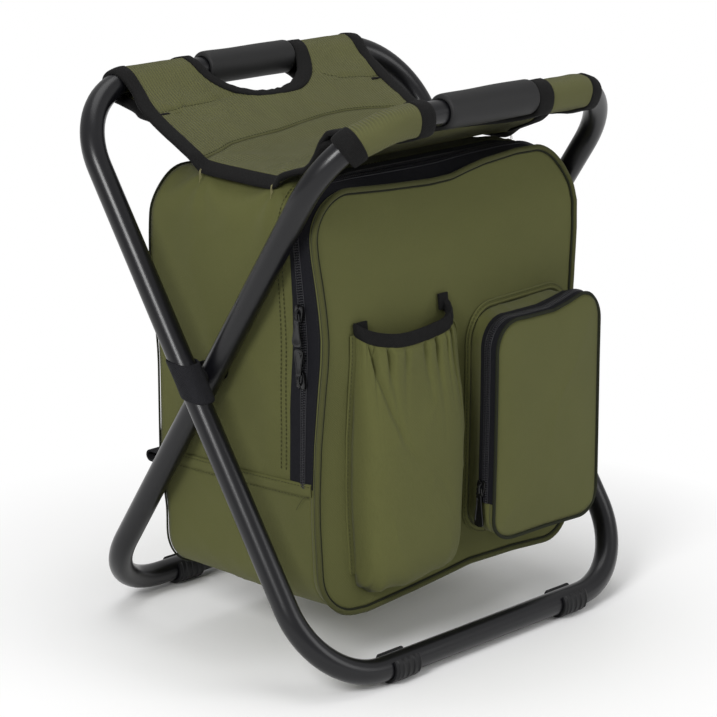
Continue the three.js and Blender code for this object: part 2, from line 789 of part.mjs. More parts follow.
// A zip slider on a left-hand side wall: body, bridge and a flared pull on the bridge.
function buildSlider(name, place, pullName, pullLength, direction) {
  const group = new THREE.Group();
  group.position.copy(place);
  stool.add(group);
  const seat = coilTop + clearance;
  const halfLength = sliderLength / 2;
  const halfWidth = sliderWidth / 2;
  const outline = [
    [-halfWidth, -direction * halfLength],
    [halfWidth, -direction * halfLength],
    [halfWidth - sliderTaper, direction * halfLength],
    [sliderTaper - halfWidth, direction * halfLength],
  ];
  const plate = (points, foot, head) => sweep(points, [foot, head].map((lift) => ({
    at: new THREE.Vector3(-lift, 0, 0),
    across: Y,
    out: Z,
  })));
  const top = seat + sliderHeight;
  let body = solidOf(plate(outline, seat, top));
  const bridge = [-bridgeLength / 2, bridgeLength / 2];
  const arm = block(
    [-top - bridgeHeight, -bridgeWidth / 2, bridge[0]],
    [-top + clearance, bridgeWidth / 2, bridge[1]],
  );
  const eye = pullThickness + 2 * clearance;
  const window = block(
    [-top - eye / 2 - bridgeHeight / 2, -sliderWidth, -eye / 2],
    [-top + eye / 2 - bridgeHeight / 2, sliderWidth, eye / 2],
  );
  body = body.add(solidOf(arm)).subtract(solidOf(window));
  add(name, geometryOf(body), zipMetal, group);
  const pin = -top - bridgeHeight / 2;
  const neck = pullNeck / 2;
  const flare = pullFoot / 2;
  const start = bridgeLength / 2 + clearance;
  const tip = start + pullLength;
  const leaf = [
    [-neck, start], [neck, start], [flare, tip - flare], [neck, tip], [-neck, tip], [-flare, tip - flare],
  ].map(([a, b]) => [a, direction * b]);
  let pull = solidOf(plate(leaf, -pin - pullThickness / 2, -pin + pullThickness / 2));
  const reach = start + clearance;
  const half = pullThickness / 2;
  for (const sign of [-1, 1]) {
    const near = sign * (bridgeWidth / 2 + clearance);
    const far = sign * neck;
    const [a, b] = [Math.min(near, far), Math.max(near, far)];
    const [c, d] = direction < 0 ? [-reach, half] : [-half, reach];
    pull = pull.add(solidOf(block([pin - half, a, c], [pin + half, b, d])));
  }
  pull = pull.add(solidOf(block([pin - half, -neck, -half], [pin + half, neck, half])));
  add(pullName, geometryOf(pull), zipMetal, group);
}

function buildSliders() {
  const onWall = (z) => settle({ x: -bagHalfWidth, y: zipPlane, z });
  buildSlider('main_slider_upper', onWall(upperSliderHeight), 'main_pull_upper', mainPullLength, -1);
  buildSlider('main_slider_lower', onWall(lowerSliderHeight), 'main_pull_lower', mainPullLength, 1);
  const place = new THREE.Vector3(pocketCentre - pocketHalfWidth, pocketZipPlane, pocketSliderHeight);
  buildSlider('pocket_slider', place, 'pocket_pull', pocketPullLength, -1);
}

// Seat. The sling's middle surface in Y and Z, symmetric about the pivots.
const seatLow = bagHigh + clearance + seatThickness / 2 + seatDroop(bagHalfWidth - bagTopRadius);

function sag(y) {
  return seatLow + seatRise * (Math.abs(y) / seatRiseReach) ** seatSagPower;
}

// The place where a sleeve's two layers are sewn together and the sling begins.
function seam() {
  let y = barPlace;
  const far = (place) => Math.hypot(barPlace - place, barTopHeight - sag(place));
  const step = clearance / 10;
  while (far(y) < sleeveWebLength) y -= step;
  return { y, z: sag(y) };
}

const seatSeam = seam();

// The hand slot round a bar: an upright elliptical hole in the sling.
function handSlot(facing) {
  const hole = new THREE.CylinderGeometry(slotHalfWidth, slotHalfWidth, slotHalfWidth, slotSides);
  hole.rotateX(Math.PI / 2).scale(1, slotReach / slotHalfWidth, 1);
  return solidOf(hole.translate(slotShift, facing * barPlace, barTopHeight));
}

function sleeve(side, sign, facing, span) {
  const straight = span / 2 - bendRadius;
  const legDown = new THREE.Vector2(-facing * Math.sin(tiltAngle), -Math.cos(tiltAngle));
  const rings = { inside: [], outside: [] };
  for (let i = 0; i <= sleeveStations; i++) {
    const x = slotNeck + ((seatHalfWidth - slotNeck) * i) / sleeveStations;
    const into = Math.max(0, x - straight);
    const dropAt = (radius) => bendRadius - Math.sqrt(radius ** 2 - into ** 2);
    const high = dropAt(bendRadius + tubeRadius);
    const low = dropAt(bendRadius - tubeRadius);
    const bar = new THREE.Vector2(facing * barPlace, barTopHeight);
    const middle = bar.addScaledVector(legDown, (high + low) / 2);
    const inner = (low - high) / 2 + sleeveEase;
    const outer = inner + sleeveCloth;
    const end = new THREE.Vector2(facing * seatSeam.y, seatSeam.z - seatDroop(x));
    rings.outside.push(teardrop(sign * x, middle, outer, end, 1));
    rings.inside.push(teardrop(sign * x, middle, inner, end, inner / outer));
  }
  const past = (ring, by) => ring.map((p) => p.clone().setX(p.x + sign * by));
  rings.inside.unshift(past(rings.inside[0], -overrun));
  rings.inside.push(past(rings.inside.at(-1), overrun));
  const cloth = solidOf(loft(rings.outside))
    .subtract(solidOf(loft(rings.inside)))
    .subtract(handSlot(facing));
  add(`${facing > 0 ? 'rear' : 'front'}_sleeve_${side}`, geometryOf(cloth), olive);
}

// Cloth drawn tight round a circle and down to one point.
function teardrop(x, middle, radius, end, reachShare) {
  const away = end.clone().sub(middle).multiplyScalar(reachShare);
  const tip = middle.clone().add(away);
  const towards = Math.atan2(away.y, away.x);
  const spread = Math.acos(radius / away.length());
  const points = [new THREE.Vector3(x, tip.x, tip.y)];
  const turnBy = 2 * (Math.PI - spread);
  for (let i = 0; i <= sleeveSides; i++) {
    const angle = towards + spread + (turnBy * i) / sleeveSides;
    const [a, b] = [radius * Math.cos(angle), radius * Math.sin(angle)];
    points.push(new THREE.Vector3(x, middle.x + a, middle.y + b));
  }
  return points;
}

function seatDroop(x) {
  return seatEdgeDroop * (Math.abs(x) / seatHalfWidth) ** 2;
}

// The sling between the seams.
function buildSeat() {
  const start = seatSeam.y - clearance * 2;
  const layer = (x, row, lift) => {
    const y = -start + (2 * start * row) / seatRows;
    return new THREE.Vector3(x, y, sag(y) - seatDroop(x) + lift);
  };
  const rings = [];
  for (let i = 0; i <= seatColumns; i++) {
    const x = -seatHalfWidth + (2 * seatHalfWidth * i) / seatColumns;
    const over = [];
    const under = [];
    for (let j = 0; j <= seatRows; j++) {
      over.push(layer(x, j, seatThickness / 2));
      under.push(layer(x, j, -seatThickness / 2));
    }
    rings.push([...over, ...under.reverse()]);
  }
  add('seat_panel', loft(rings), olive);
  for (const [side, sign] of [['left', -1], ['right', 1]]) {
    add(`seat_binding_${side}`, hemBinding(sign, start), webbing);
    sleeve(side, sign, 1, outerSpan);
    sleeve(side, sign, -1, innerSpan);
  }
}

// Tape folded over the sling's side edge.
function hemBinding(sign, end) {
  const inner = seatThickness / 2 + clearance;
  const outer = inner + bindingThickness;
  const lip = bindingWidth;
  const back = clearance + bindingThickness;
  const section = [
    [-lip, inner], [-lip, outer], [back, outer], [back, -outer],
    [-lip, -outer], [-lip, -inner], [clearance, -inner], [clearance, inner],
  ];
  const column = (2 * seatHalfWidth) / seatColumns;
  const fall = seatDroop(seatHalfWidth) - seatDroop(seatHalfWidth - column);
  const across = new THREE.Vector3(sign * column, 0, -fall).normalize();
  const stations = [];
  for (let j = 0; j <= seatRows; j++) {
    const y = -end + (2 * end * j) / seatRows;
    const x = sign * seatHalfWidth;
    stations.push({ at: new THREE.Vector3(x, y, sag(y) - seatDroop(x)), across, out: Z });
  }
  return sweep(section, stations);
}

// Shoulder straps on the back: pad, webbing tail, ladder lock and sewn anchor.
function buildStrap(side, sign) {
  const back = bagRear + clearance * 2;
  const head = new THREE.Vector3(sign * strapTopPlace, 0, strapTopHeight);
  const foot = new THREE.Vector3(sign * strapFootPlace, 0, strapFootHeight);
  const anchor = new THREE.Vector3(sign * anchorPlace, 0, anchorHeight);
  const way = anchor.clone().sub(foot).normalize();
  const curve = new THREE.CubicBezierCurve3(
    head,
    head.clone().addScaledVector(Z, -strapBend),
    foot.clone().addScaledVector(way, -strapBend),
    foot,
  );
  const half = strapPadWidth / 2;
  const round = strapPadThickness / 3;
  const section = [
    [-half, round], [round - half, 0], [half - round, 0], [half, round],
    [half, strapPadThickness - round], [half - round, strapPadThickness],
    [round - half, strapPadThickness], [-half, strapPadThickness - round],
  ];
  const stations = Array.from({ length: strapSteps + 1 }, (_, i) => {
    const heading = curve.getTangent(i / strapSteps);
    return {
      at: curve.getPoint(i / strapSteps).setY(back),
      across: new THREE.Vector3(heading.z, 0, -heading.x),
      out: Y,
    };
  });
  add(`shoulder_strap_${side}`, settledSweep(section, stations), olive);
  const across = new THREE.Vector3(way.z, 0, -way.x);
  const along = (distance, lift) => settle(foot.clone().addScaledVector(way, distance).setY(back + lift));
  const total = anchor.distanceTo(foot);
  buildLadderLock(side, along, across, way);
  buildTail(side, along, across, total);
  buildAnchor(side, sign, anchor, way, across);
}

// A flat frame with two slots, lying just below the pad.
function buildLadderLock(side, along, across, way) {
  const plate = (halfWidth, from, to, foot, head) => {
    const section = [[-halfWidth, 0], [halfWidth, 0], [halfWidth, head - foot], [-halfWidth, head - foot]];
    return sweep(section, [along(from, foot), along(to, foot)].map((at) => ({ at, across, out: Y })));
  };
  const from = lockGap;
  const to = lockGap + lockLength;
  const slotHalf = lockWidth / 2 - lockBar;
  const slotLength = (lockLength - 3 * lockBar) / 2;
  let frame = solidOf(plate(lockWidth / 2, from, to, 0, lockThickness));
  for (let i = 0; i < 2; i++) {
    const start = from + lockBar + i * (slotLength + lockBar);
    const slot = plate(slotHalf, start, start + slotLength, -overrun, lockThickness + overrun);
    frame = frame.subtract(solidOf(slot));
  }
  add(`ladder_lock_${side}`, geometryOf(frame), rubber);
}

// Webbing from the pad's end, over the lock's bars and on to the anchor.
function buildTail(side, along, across, total) {
  const half = tailWidth / 2;
  const over = lockThickness + clearance;
  const section = [[-half, 0], [half, 0], [half, tailThickness], [-half, tailThickness]];
  const places = [
    [clearance, over],
    [lockGap + lockLength + clearance, over],
    [lockGap + lockLength + lockThickness * 2, anchorThickness + clearance * 2],
    [total, anchorThickness + clearance * 2],
  ];
  const stations = places.map(([distance, lift]) => ({ at: along(distance, lift), across, out: Y }));
  add(`strap_tail_${side}`, sweep(section, stations), webbing);
}

// A sewn cloth triangle at the bag's lower corner that holds the webbing.
function buildAnchor(side, sign, anchor, way, across) {
  const reach = anchorSize / 2;
  const corner = settle(anchor.clone().setY(bagRear + clearance));
  const section = [[-reach, 0], [reach, 0], [reach, anchorThickness], [-reach, anchorThickness]];
  const wideEnd = corner.clone().addScaledVector(way, reach / 2);
  const narrow = corner.clone().addScaledVector(way, -anchorSize);
  const rings = [[narrow, tailWidth / anchorSize], [wideEnd, 1]].map(([at, widthShare]) =>
    section.map(([a, b]) => at.clone().addScaledVector(across, a * widthShare).addScaledVector(Y, b)));
  add(`strap_anchor_${side}`, loft(rings), olive);
}

// Webbing ties sewn to the bag's sides behind the inner legs, reaching out to the collars.
function buildTie(side, sign) {
  const rise = tieWidth / 2;
  const behind = tubeRadius / Math.cos(tiltAngle) + rise * Math.tan(tiltAngle) + clearance * 2;
  const near = sign * (bagHalfWidth + clearance);
  const face = near + sign * webbingThickness;
  const far = sign * (bagHalfWidth + tieReach);
  const outline = [
    [near, behind + webbingThickness],
    [far, behind + webbingThickness],
    [far, behind],
    [face, behind],
    [face, behind - tiePatch],
    [near, behind - tiePatch],
  ];
  const ends = [-rise, rise].map((lift) => ({
    at: new THREE.Vector3(0, 0, pivotHeight + lift),
    across: X,
    out: Y,
  }));
  add(`pivot_tie_${side}`, sweep(outline, ends), webbing);
}

buildFrame();
buildBag();
buildBottlePocket();
buildZipPocket();
buildSliders();
buildSeat();
for (const [side, sign] of [['left', -1], ['right', 1]]) {
  buildStrap(side, sign);
  buildTie(side, sign);
}

export default stool;
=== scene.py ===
import math
import bpy
import numpy as np
from mathutils import Matrix, Vector


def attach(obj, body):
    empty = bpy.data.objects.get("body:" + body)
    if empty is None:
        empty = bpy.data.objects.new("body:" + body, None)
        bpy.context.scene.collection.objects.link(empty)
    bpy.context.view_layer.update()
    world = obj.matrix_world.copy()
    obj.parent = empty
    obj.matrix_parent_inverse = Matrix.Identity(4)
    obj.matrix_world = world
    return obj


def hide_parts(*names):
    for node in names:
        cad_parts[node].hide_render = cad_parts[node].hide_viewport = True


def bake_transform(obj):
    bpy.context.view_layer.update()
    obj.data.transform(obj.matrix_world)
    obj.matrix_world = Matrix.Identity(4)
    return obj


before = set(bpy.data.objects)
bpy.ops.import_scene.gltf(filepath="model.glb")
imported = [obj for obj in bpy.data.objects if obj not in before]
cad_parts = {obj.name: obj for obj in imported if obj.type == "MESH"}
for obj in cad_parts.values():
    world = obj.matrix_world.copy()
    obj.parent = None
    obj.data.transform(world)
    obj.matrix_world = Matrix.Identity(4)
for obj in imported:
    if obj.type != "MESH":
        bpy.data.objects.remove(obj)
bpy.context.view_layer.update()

MM = 0.001

# Frame, in millimetres
TILT = math.radians(33.4)
PIVOT = 222.047
UPPER, LOWER, BEND = 242.0, 251.0, 66.0
OUTER, INNER = 358.0, 312.0
TUBE, GRIP = 9.5, 13.4
SIDES = {"left": -1, "right": 1}

# Bag, in millimetres, before warp() gives it its sag
BAG = dict(cx=0, hw=140.5, low=50, high=372, rt=36, rb=32)
POCKET = dict(cx=73.5, hw=59.5, low=78, high=258, rt=24, rb=22)
FRONT, REAR = -104.0, 84.0
ZIP_Y, TAPE = -84.0, 12.0
ZIP_END, FOLD = 152.0, 278.0
POCKET_DEPTH = 34.0
BAG_MIDDLE = np.array([0.0, 0.0, 210.0])
POCKET_MIDDLE = np.array([73.5, -115.0, 168.0])
BOTTLE_MIDDLE = np.array([-61.0, -100.0, 170.0])
POCKET_ZIP = FRONT - POCKET_DEPTH + 9.5
COVER_FOLD, COVER_LIMIT = 113.0, -148.5
TOP_EDGE = ([-130, -109, -64, -18, 6, 24, 42, 80, 105, 130],
            [-4, -4.5, -8, -10.5, -10, -6.5, -3.5, -0.5, -1, -5])
BOTTOM_EDGE = ([-130, -95, -46, 18, 70, 129], [0, -3, 1, 7, 5, 0])
TACKS = (35.0, -42.0)
LEFT_EDGE = ([50, 80, 120, 142, 160, 182, 205, 227, 245, 264, 285, 305, 325, 346, 372],
             [2, 4.5, 7.5, 7.9, 7.2, 6.2, 3.8, 1.4, -0.8, -2.6, -2.4, -1.4, 0, 0, 0])
RIGHT_EDGE = ([50, 100, 200, 254, 275, 304, 328, 342, 353, 372], [2, 4, 5, 5.1, 2.4, -2.6, -5.4, -3.5, -1, 0])
SLIDER_HEIGHTS = {"upper": 281, "lower": 232, "pocket": 124}
WAVES = 7
WELD = 0.02
BEAD_SIDES = 6
STITCH_PITCH, STITCH_HALF = 3.3, 1.15


# Helpers

def ease(t):
    """A soft step from 0 to 1."""
    t = np.clip(t, 0, 1)
    return t * t * (3 - 2 * t)


def waves(p, scale, seed):
    """Smooth seeded noise from -1 to 1 on points in millimetres."""
    r = np.random.RandomState(seed)
    total = 0
    for _ in range(WAVES):
        k = r.normal(size=3)
        k *= (0.6 + 0.8 * r.rand()) * 2 * math.pi / (scale * np.linalg.norm(k))
        total = total + np.sin(p @ k + r.rand() * 2 * math.pi)
    return total / math.sqrt(WAVES * 1.6)


def creases(p, scale, seed):
    """Narrow soft ridges between broad flats, from 0 to 1."""
    return (1 - np.abs(np.clip(waves(p, scale, seed), -1, 1))) ** 4


def warp(p):
    """Nominal bag coordinates to the bag as it hangs."""
    q = np.array(p, float)
    x, y, z = q[..., 0].copy(), q[..., 1].copy(), q[..., 2].copy()
    front, rear = ease((-y - 20) / 84), ease((y - 20) / 64)
    top, low = ease((z - 290) / 75), ease((115 - z) / 60)
    face, brow = ease((-y - 96) / 8), ease((-y - 79) / 22)
    edge = ease((-y - 76) / 28)
    # The front leans back towards its top and bulges, and the rear tucks in below the shoulder
    q[..., 1] += 12.5 * ease((z - 240) / 132) * front - 8 * ease((300 - z) / 90) * rear
    q[..., 1] -= 3 * face * (1 - np.clip(x / 138, -1, 1) ** 2) * (1 - np.clip((z - 205) / 165, -1, 1) ** 2)
    # The front's upright edges wave, and the lower rear edge tucks in further
    q[..., 1] += edge * (ease(-x / 140) * np.interp(z, *LEFT_EDGE)
                         + ease(x / 140) * np.interp(z, *RIGHT_EDGE))
    q[..., 1] -= 7 * rear * ease((138 - z) / 45)
    # The top rear corners draw inwards
    corner = np.exp(-((np.abs(x) - 126) / 18) ** 2 - ((z - 352) / 22) ** 2)
    q[..., 0] -= 3.5 * ease((y - 40) / 44) * np.sign(x) * corner
    # The top and the foot rise and fall along their front edges and sink towards the rear
    rise = 4.5 * np.exp(-((y + 72) / 13) ** 2) * ease((118 - np.abs(x)) / 40)
    dz = top * (brow * np.interp(x, *TOP_EDGE) + rise - rear * 9 - (1 - front - rear) * 2)
    dz += low * (front * np.interp(x, *BOTTOM_EDGE) - (1 - front) * 3)
    # The tacks lift the top's sides
    corner = np.exp(-((np.abs(x) - 128) / 15) ** 2) * ease((z - 335) / 25)
    for place in TACKS:
        dz += 5 * corner * np.exp(-((y - place) / 20) ** 2)
    q[..., 2] += dz
    # The sides bulge
    side = ease((np.abs(x) - 128) / 12) * np.sin(np.clip((y + 100) / 180, 0, 1) * math.pi)
    q[..., 0] += np.sign(x) * side * (1.6 * np.sin(np.clip((z - 60) / 300, 0, 1) * math.pi)
                                     + 0.7 * waves(q, 90, 5))
    return q


def rounded(cx, hw, low, high, rt, rb, step=4.0):
    """A rounded rectangle's points and outward normals in X and Z, from low on the left side, up and over."""
    pts, nrm = [], []
    corners = (((cx - hw + rt, high - rt), rt), ((cx + hw - rt, high - rt), rt),
               ((cx + hw - rb, low + rb), rb), ((cx - hw + rb, low + rb), rb))
    for k, ((x, z), r) in enumerate(corners):
        (last_x, last_z), last_r = corners[k - 1]
        nx, nz = ((-1, 0), (0, 1), (1, 0), (0, -1))[k]
        start, end = (last_x + nx * last_r, last_z + nz * last_r), (x + nx * r, z + nz * r)
        count = max(1, int(round(math.dist(start, end) / step)))
        for t in (i / count for i in range(count)):
            pts.append((start[0] + (end[0] - start[0]) * t, start[1] + (end[1] - start[1]) * t))
            nrm.append((nx, nz))
        count = max(4, int(round(math.pi / 2 * r / step)))
        for t in (i / count for i in range(count)):
            angle = math.pi * (1 - k / 2 - t / 2)
            nrm.append((math.cos(angle), math.sin(angle)))
            pts.append((x + r * nrm[-1][0], z + r * nrm[-1][1]))
    return np.array(pts), np.array(nrm)


def arch(shape, end, step=4.0):
    """The part of a rounded rectangle above a height, from the left side to the right."""
    pts, nrm = rounded(**shape, step=step)
    keep = pts[:, 1] > end + 0.5
    pts, nrm = pts[keep], nrm[keep]
    left, right = shape["cx"] - shape["hw"], shape["cx"] + shape["hw"]
    pts = np.vstack([[left, end], pts, [right, end]])
    nrm = np.vstack([[-1, 0], nrm, [1, 0]])
    return pts, nrm


def at(pts, y, nrm=None, out=0.0):
    """Outline points placed at y, moved outwards."""
    p = np.zeros((len(pts), 3))
    p[:, 0], p[:, 2] = pts[:, 0], pts[:, 1]
    if nrm is not None:
        p[:, 0] += nrm[:, 0] * out
        p[:, 2] += nrm[:, 1] * out
    p[:, 1] = y
    return p


def grid(p, close_u=False, close_v=False, keep=None):
    """Four-sided faces over rows of points; keep picks which."""
    nu, nv = p.shape[:2]
    faces = []
    for i in range(nu if close_u else nu - 1):
        for j in range(nv if close_v else nv - 1):
            if keep is None or keep(i, j):
                k, m = (i + 1) % nu, (j + 1) % nv
                faces.append((i * nv + j, k * nv + j, k * nv + m, i * nv + m))
    return p.reshape(-1, 3), faces


def turned(part, keep=False):
    """A shape with its faces turned over, unless it is kept as it is."""
    v, f = part
    return (v, f) if keep else (v, [face[::-1] for face in f])


def outwards(part, centre):
    """A sheet turned so that its faces look away from a point."""
    v, f = part
    v = np.asarray(v, float).reshape(-1, 3)
    total = 0.0
    for face in f[:: max(1, len(f) // 400)]:
        a, b, c = v[face[0]], v[face[1]], v[face[2]]
        total += np.dot(np.cross(b - a, c - a), (a + b + c) / 3 - centre)
    return turned((v, f), total > 0)


def below(line, height):
    """Picks a ring's cells below a height."""
    low = line[:, 1] <= height
    return lambda i, j: low[j] and low[(j + 1) % len(low)]


def merge(parts):
    """Several shapes as one."""
    verts, faces, shift = [], [], 0
    for v, f in parts:
        verts.append(np.asarray(v, float).reshape(-1, 3))
        faces += [tuple(i + shift for i in face) for face in f]
        shift += len(verts[-1])
    return np.vstack(verts), faces


def unit(v):
    """Vectors scaled to length 1."""
    n = np.linalg.norm(v, axis=-1, keepdims=True)
    return v / np.where(n < 1e-9, 1, n)


def tangents(path, closed=False):
    """Unit directions along a path."""
    if closed:
        return unit(np.roll(path, -1, 0) - np.roll(path, 1, 0))
    return unit(np.gradient(path, axis=0))


def tube(rings, closed=False, first=-1, last=1):
    """A tube over rings of points, closed by two faces; 1 or -1 gives the way each of them is wound."""
    v, f = grid(rings, close_u=closed, close_v=True)
    n = rings.shape[1]
    if not closed:
        f += [tuple(range(n))[::first], tuple(range(len(v) - n, len(v)))[::last]]
    return v, f


def sweep(path, across, out, section, closed=False):
    """Carries a closed section, given as (across, out) pairs, along a path."""
    section = np.asarray(section, float)
    across, out = np.broadcast_to(across, path.shape), np.broadcast_to(out, path.shape)
    rings = path[:, None] + across[:, None] * section[None, :, :1] + out[:, None] * section[None, :, 1:]
    return tube(rings, closed)


def facing_out(parts, middle):
    """Several sheets as one, their faces away from a point."""
    return merge([outwards(part, middle) for part in parts])


def rope(path, radius, up=(0, 1, 0), sides=10, closed=False):
    """A round cord along a path."""
    t = tangents(path, closed)
    side = unit(np.cross(np.broadcast_to(np.array(up, float), t.shape), t))
    a = np.arange(sides) * 2 * math.pi / sides
    disc = np.stack([radius * np.cos(a), radius * np.sin(a)], 1)
    return sweep(path, side, np.cross(t, side), disc, closed)


def bake(ob):
    """Applies an object's modifiers."""
    graph = bpy.context.evaluated_depsgraph_get()
    old = ob.data
    ob.data = bpy.data.meshes.new_from_object(ob.evaluated_get(graph))
    ob.modifiers.clear()
    bpy.data.meshes.remove(old)


def link(ob):
    """Puts an object into the scene."""
    bpy.context.scene.collection.objects.link(ob)
    return ob


def piece(name, shape, mat, nodes=(), body="bag", blend=None, thick=0, offset=-1, sub=0,
          welded=False, sharp=None):
    """A named piece of the model: its mesh, modifiers, shading, body or blend, CAD nodes and slot."""
    verts, faces = shape
    mesh = bpy.data.meshes.new(name)
    mesh.from_pydata((np.asarray(verts) * MM).tolist(), [], faces)
    mesh.validate()
    ob = link(bpy.data.objects.new(name, mesh))
    mesh.materials.append(mat)
    if welded:
        ob.modifiers.new("weld", "WELD").merge_threshold = WELD * MM
        bake(ob)
    if thick:
        mod = ob.modifiers.new("thick", "SOLIDIFY")
        mod.thickness, mod.offset = thick * MM, offset
    if sub:
        mod = ob.modifiers.new("smooth", "SUBSURF")
        mod.levels = mod.render_levels = sub
    if thick or sub:
        bake(ob)
    ob.data.shade_smooth()
    if sharp:
        ob.data.set_sharp_from_angle(angle=math.radians(sharp))
    if blend:
        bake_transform(ob)
    else:
        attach(ob, body)
    if nodes:
        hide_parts(*nodes)
    return ob


def resample(path, pitch, up):
    """Points at an even pitch along a path, their directions and their up, given once or for each point."""
    run = np.concatenate([[0], np.cumsum(np.linalg.norm(np.diff(path, axis=0), axis=1))])
    count = max(2, int(run[-1] / pitch))
    places = (np.arange(count) + 0.5) * run[-1] / count

    def between(values):
        """Values at the even places."""
        return np.stack([np.interp(places, run, values[:, k]) for k in range(3)], 1)

    pts, up = between(path), np.asarray(up, float)
    up = unit(between(up)) if up.ndim == 2 else np.broadcast_to(up, pts.shape)
    return pts, tangents(pts), up


def capsule():
    """A unit bead along its first axis."""
    rings = [(-1.0, 0.0), (-0.8, 0.7), (0.0, 1.0), (0.8, 0.7), (1.0, 0.0)]
    a = np.arange(BEAD_SIDES) * 2 * math.pi / BEAD_SIDES
    p = np.array([[(x, r * math.cos(t), r * math.sin(t)) for t in a] for x, r in rings])
    return grid(p, close_v=True)


BEAD = capsule()


def beads(centres, along, up, half, wide, high):
    """Many beads: centres, their long directions and their upward directions."""
    v, f = BEAD
    side = unit(np.cross(along, up))
    rise = np.cross(side, along)
    p = (centres[:, None] + along[:, None] * v[None, :, :1] * half
         + side[:, None] * v[None, :, 1:2] * wide + rise[:, None] * v[None, :, 2:] * high)
    faces = [tuple(i + k * len(v) for i in face) for k in range(len(centres)) for face in f]
    return p.reshape(-1, 3), faces


def stitching(path, up, thick=0.36):
    """A run of stitches on a path; up is one direction or one for each path point."""
    pts, along, up = resample(path, STITCH_PITCH, up)
    return beads(pts, along, up, STITCH_HALF, thick, thick)


def spline(points, count):
    """A smooth curve through points (Catmull-Rom), in even parameter steps."""
    p = np.asarray(points, float)
    p = np.vstack([2 * p[0] - p[1], p, 2 * p[-1] - p[-2]])
    out = []
    spans = len(p) - 3
    for k in range(count):
        s = k * spans / (count - 1)
        i = min(int(s), spans - 1)
        t = s - i
        a, b, c, d = p[i:i + 4]
        out.append(0.5 * (2 * b + (c - a) * t + (2 * a - 5 * b + 4 * c - d) * t ** 2
                          + (3 * b - a - 3 * c + d) * t ** 3))
    return np.array(out)


def closed_curve(points, count):
    """A smooth ring through points."""
    return spline(points + points[:1], count + 1)[:-1]


# Materials

class Nodes:
    """A node tree whose nodes are made by short calls."""

    def __init__(self, tree):
        """Works on one tree."""
        self.tree = tree

    def node(self, kind, inputs=None, **props):
        """A node with its properties set and its inputs fed."""
        n = self.tree.nodes.new(kind)
        for k, v in props.items():
            setattr(n, k, v)
        for k, v in (inputs or {}).items():
            self.feed(n.inputs[k], v)
        return n

    def feed(self, socket, value):
        """Links an output to an input, or sets its value."""
        if isinstance(value, bpy.types.NodeSocket):
            self.tree.links.new(value, socket)
        else:
            socket.default_value = value

    def math(self, op, a, b=0.0):
        """One step of arithmetic."""
        return self.node("ShaderNodeMath", {0: a, 1: b}, operation=op).outputs[0]

    def add(self, a, *more):
        """A sum."""
        for b in more:
            a = self.math("ADD", a, b)
        return a

    def times(self, a, *more):
        """A product."""
        for b in more:
            a = self.math("MULTIPLY", a, b)
        return a

    def vector(self, op, a, b=(0, 0, 0)):
        """One step of arithmetic on vectors."""
        return self.node("ShaderNodeVectorMath", {0: a, 1: b}, operation=op).outputs

    def split(self, vector):
        """A vector's three parts."""
        return self.node("ShaderNodeSeparateXYZ", {0: vector}).outputs

    def place(self):
        """The point in the object's own space."""
        return self.node("ShaderNodeTexCoord").outputs["Object"]

    def noise(self, scale, detail, rough=0.5, output="Fac"):
        """Smooth noise."""
        inputs = {"Scale": scale, "Detail": detail, "Roughness": rough, "Vector": self.place()}
        return self.node("ShaderNodeTexNoise", inputs).outputs[output]


class Paint(Nodes):
    """A material."""

    def __init__(self, name):
        """Makes the material."""
        self.mat = bpy.data.materials.new(name)
        self.mat.use_nodes = True
        super().__init__(self.mat.node_tree)

    def mix(self, t, dark, light):
        """A colour between two."""
        return self.node("ShaderNodeMix", {0: t, 6: dark, 7: light}, data_type="RGBA").outputs[2]

    def bump(self, height, distance, strength):
        """A normal from a height."""
        inputs = {"Height": height, "Distance": distance, "Strength": strength}
        return self.node("ShaderNodeBump", inputs).outputs["Normal"]

    def set(self, **values):
        """Feeds the surface's inputs."""
        for k, v in values.items():
            self.feed(self.tree.nodes["Principled BSDF"].inputs[k.replace("_", " ")], v)
        return self.mat


def shade(color, k):
    """A colour made darker or lighter."""
    return tuple(min(1, c * k) for c in color) + (1,)


def weave(p, pitch, wobble):
    """Crossed yarns in planes across X, Y and Z, and how far the surface faces Z."""
    shift = p.vector("MULTIPLY", p.noise(260.0, 1.0, output="Color"), (wobble,) * 3)[0]
    moved = p.vector("ADD", p.place(), shift)[0]
    x, y, z = [p.math("SINE", p.times(place, math.pi / pitch)) for place in p.split(moved)]
    normal = p.node("ShaderNodeTexCoord").outputs["Normal"]
    faces = [p.math("POWER", p.math("ABSOLUTE", share), 3.0) for share in p.split(normal)]
    yarns = [p.times(a, b, share) for a, b, share in zip((y, x, x), (z, z, y), faces)]
    return p.add(*yarns), faces[2]


def woven(name, color, pitch=0.00062, depth=0.00016, sheen=0.05, ribs=None):
    """Plain-woven cloth: crossed yarns, slubs, dye variation and a little bloom."""
    p = Paint(name)
    yarns, flat = weave(p, pitch, 0.0004)
    slub = p.noise(900.0, 2.0)
    cloud = p.noise(14.0, 4.0, 0.6)
    tone = p.add(p.times(yarns, 0.22), p.times(slub, 0.5), p.times(cloud, 0.55))
    height = p.add(yarns, p.times(slub, 0.5))
    if ribs:
        long = p.noise(40.0, 2.0)
        phase = p.add(p.times(p.split(p.place())[0], 2 * math.pi / ribs), p.times(long, 5.0))
        rib = p.times(p.math("SINE", phase), p.times(flat, p.add(long, 0.35)))
        tone = p.add(tone, rib)
        height = p.add(height, p.times(rib, 5.5))
    base = p.mix(tone, shade(color, 0.84), shade(color, 1.16))
    return p.set(Base_Color=base, Roughness=0.86, Normal=p.bump(height, depth, 0.7),
                 Sheen_Weight=sheen, Sheen_Roughness=0.45, Specular_IOR_Level=0.22)


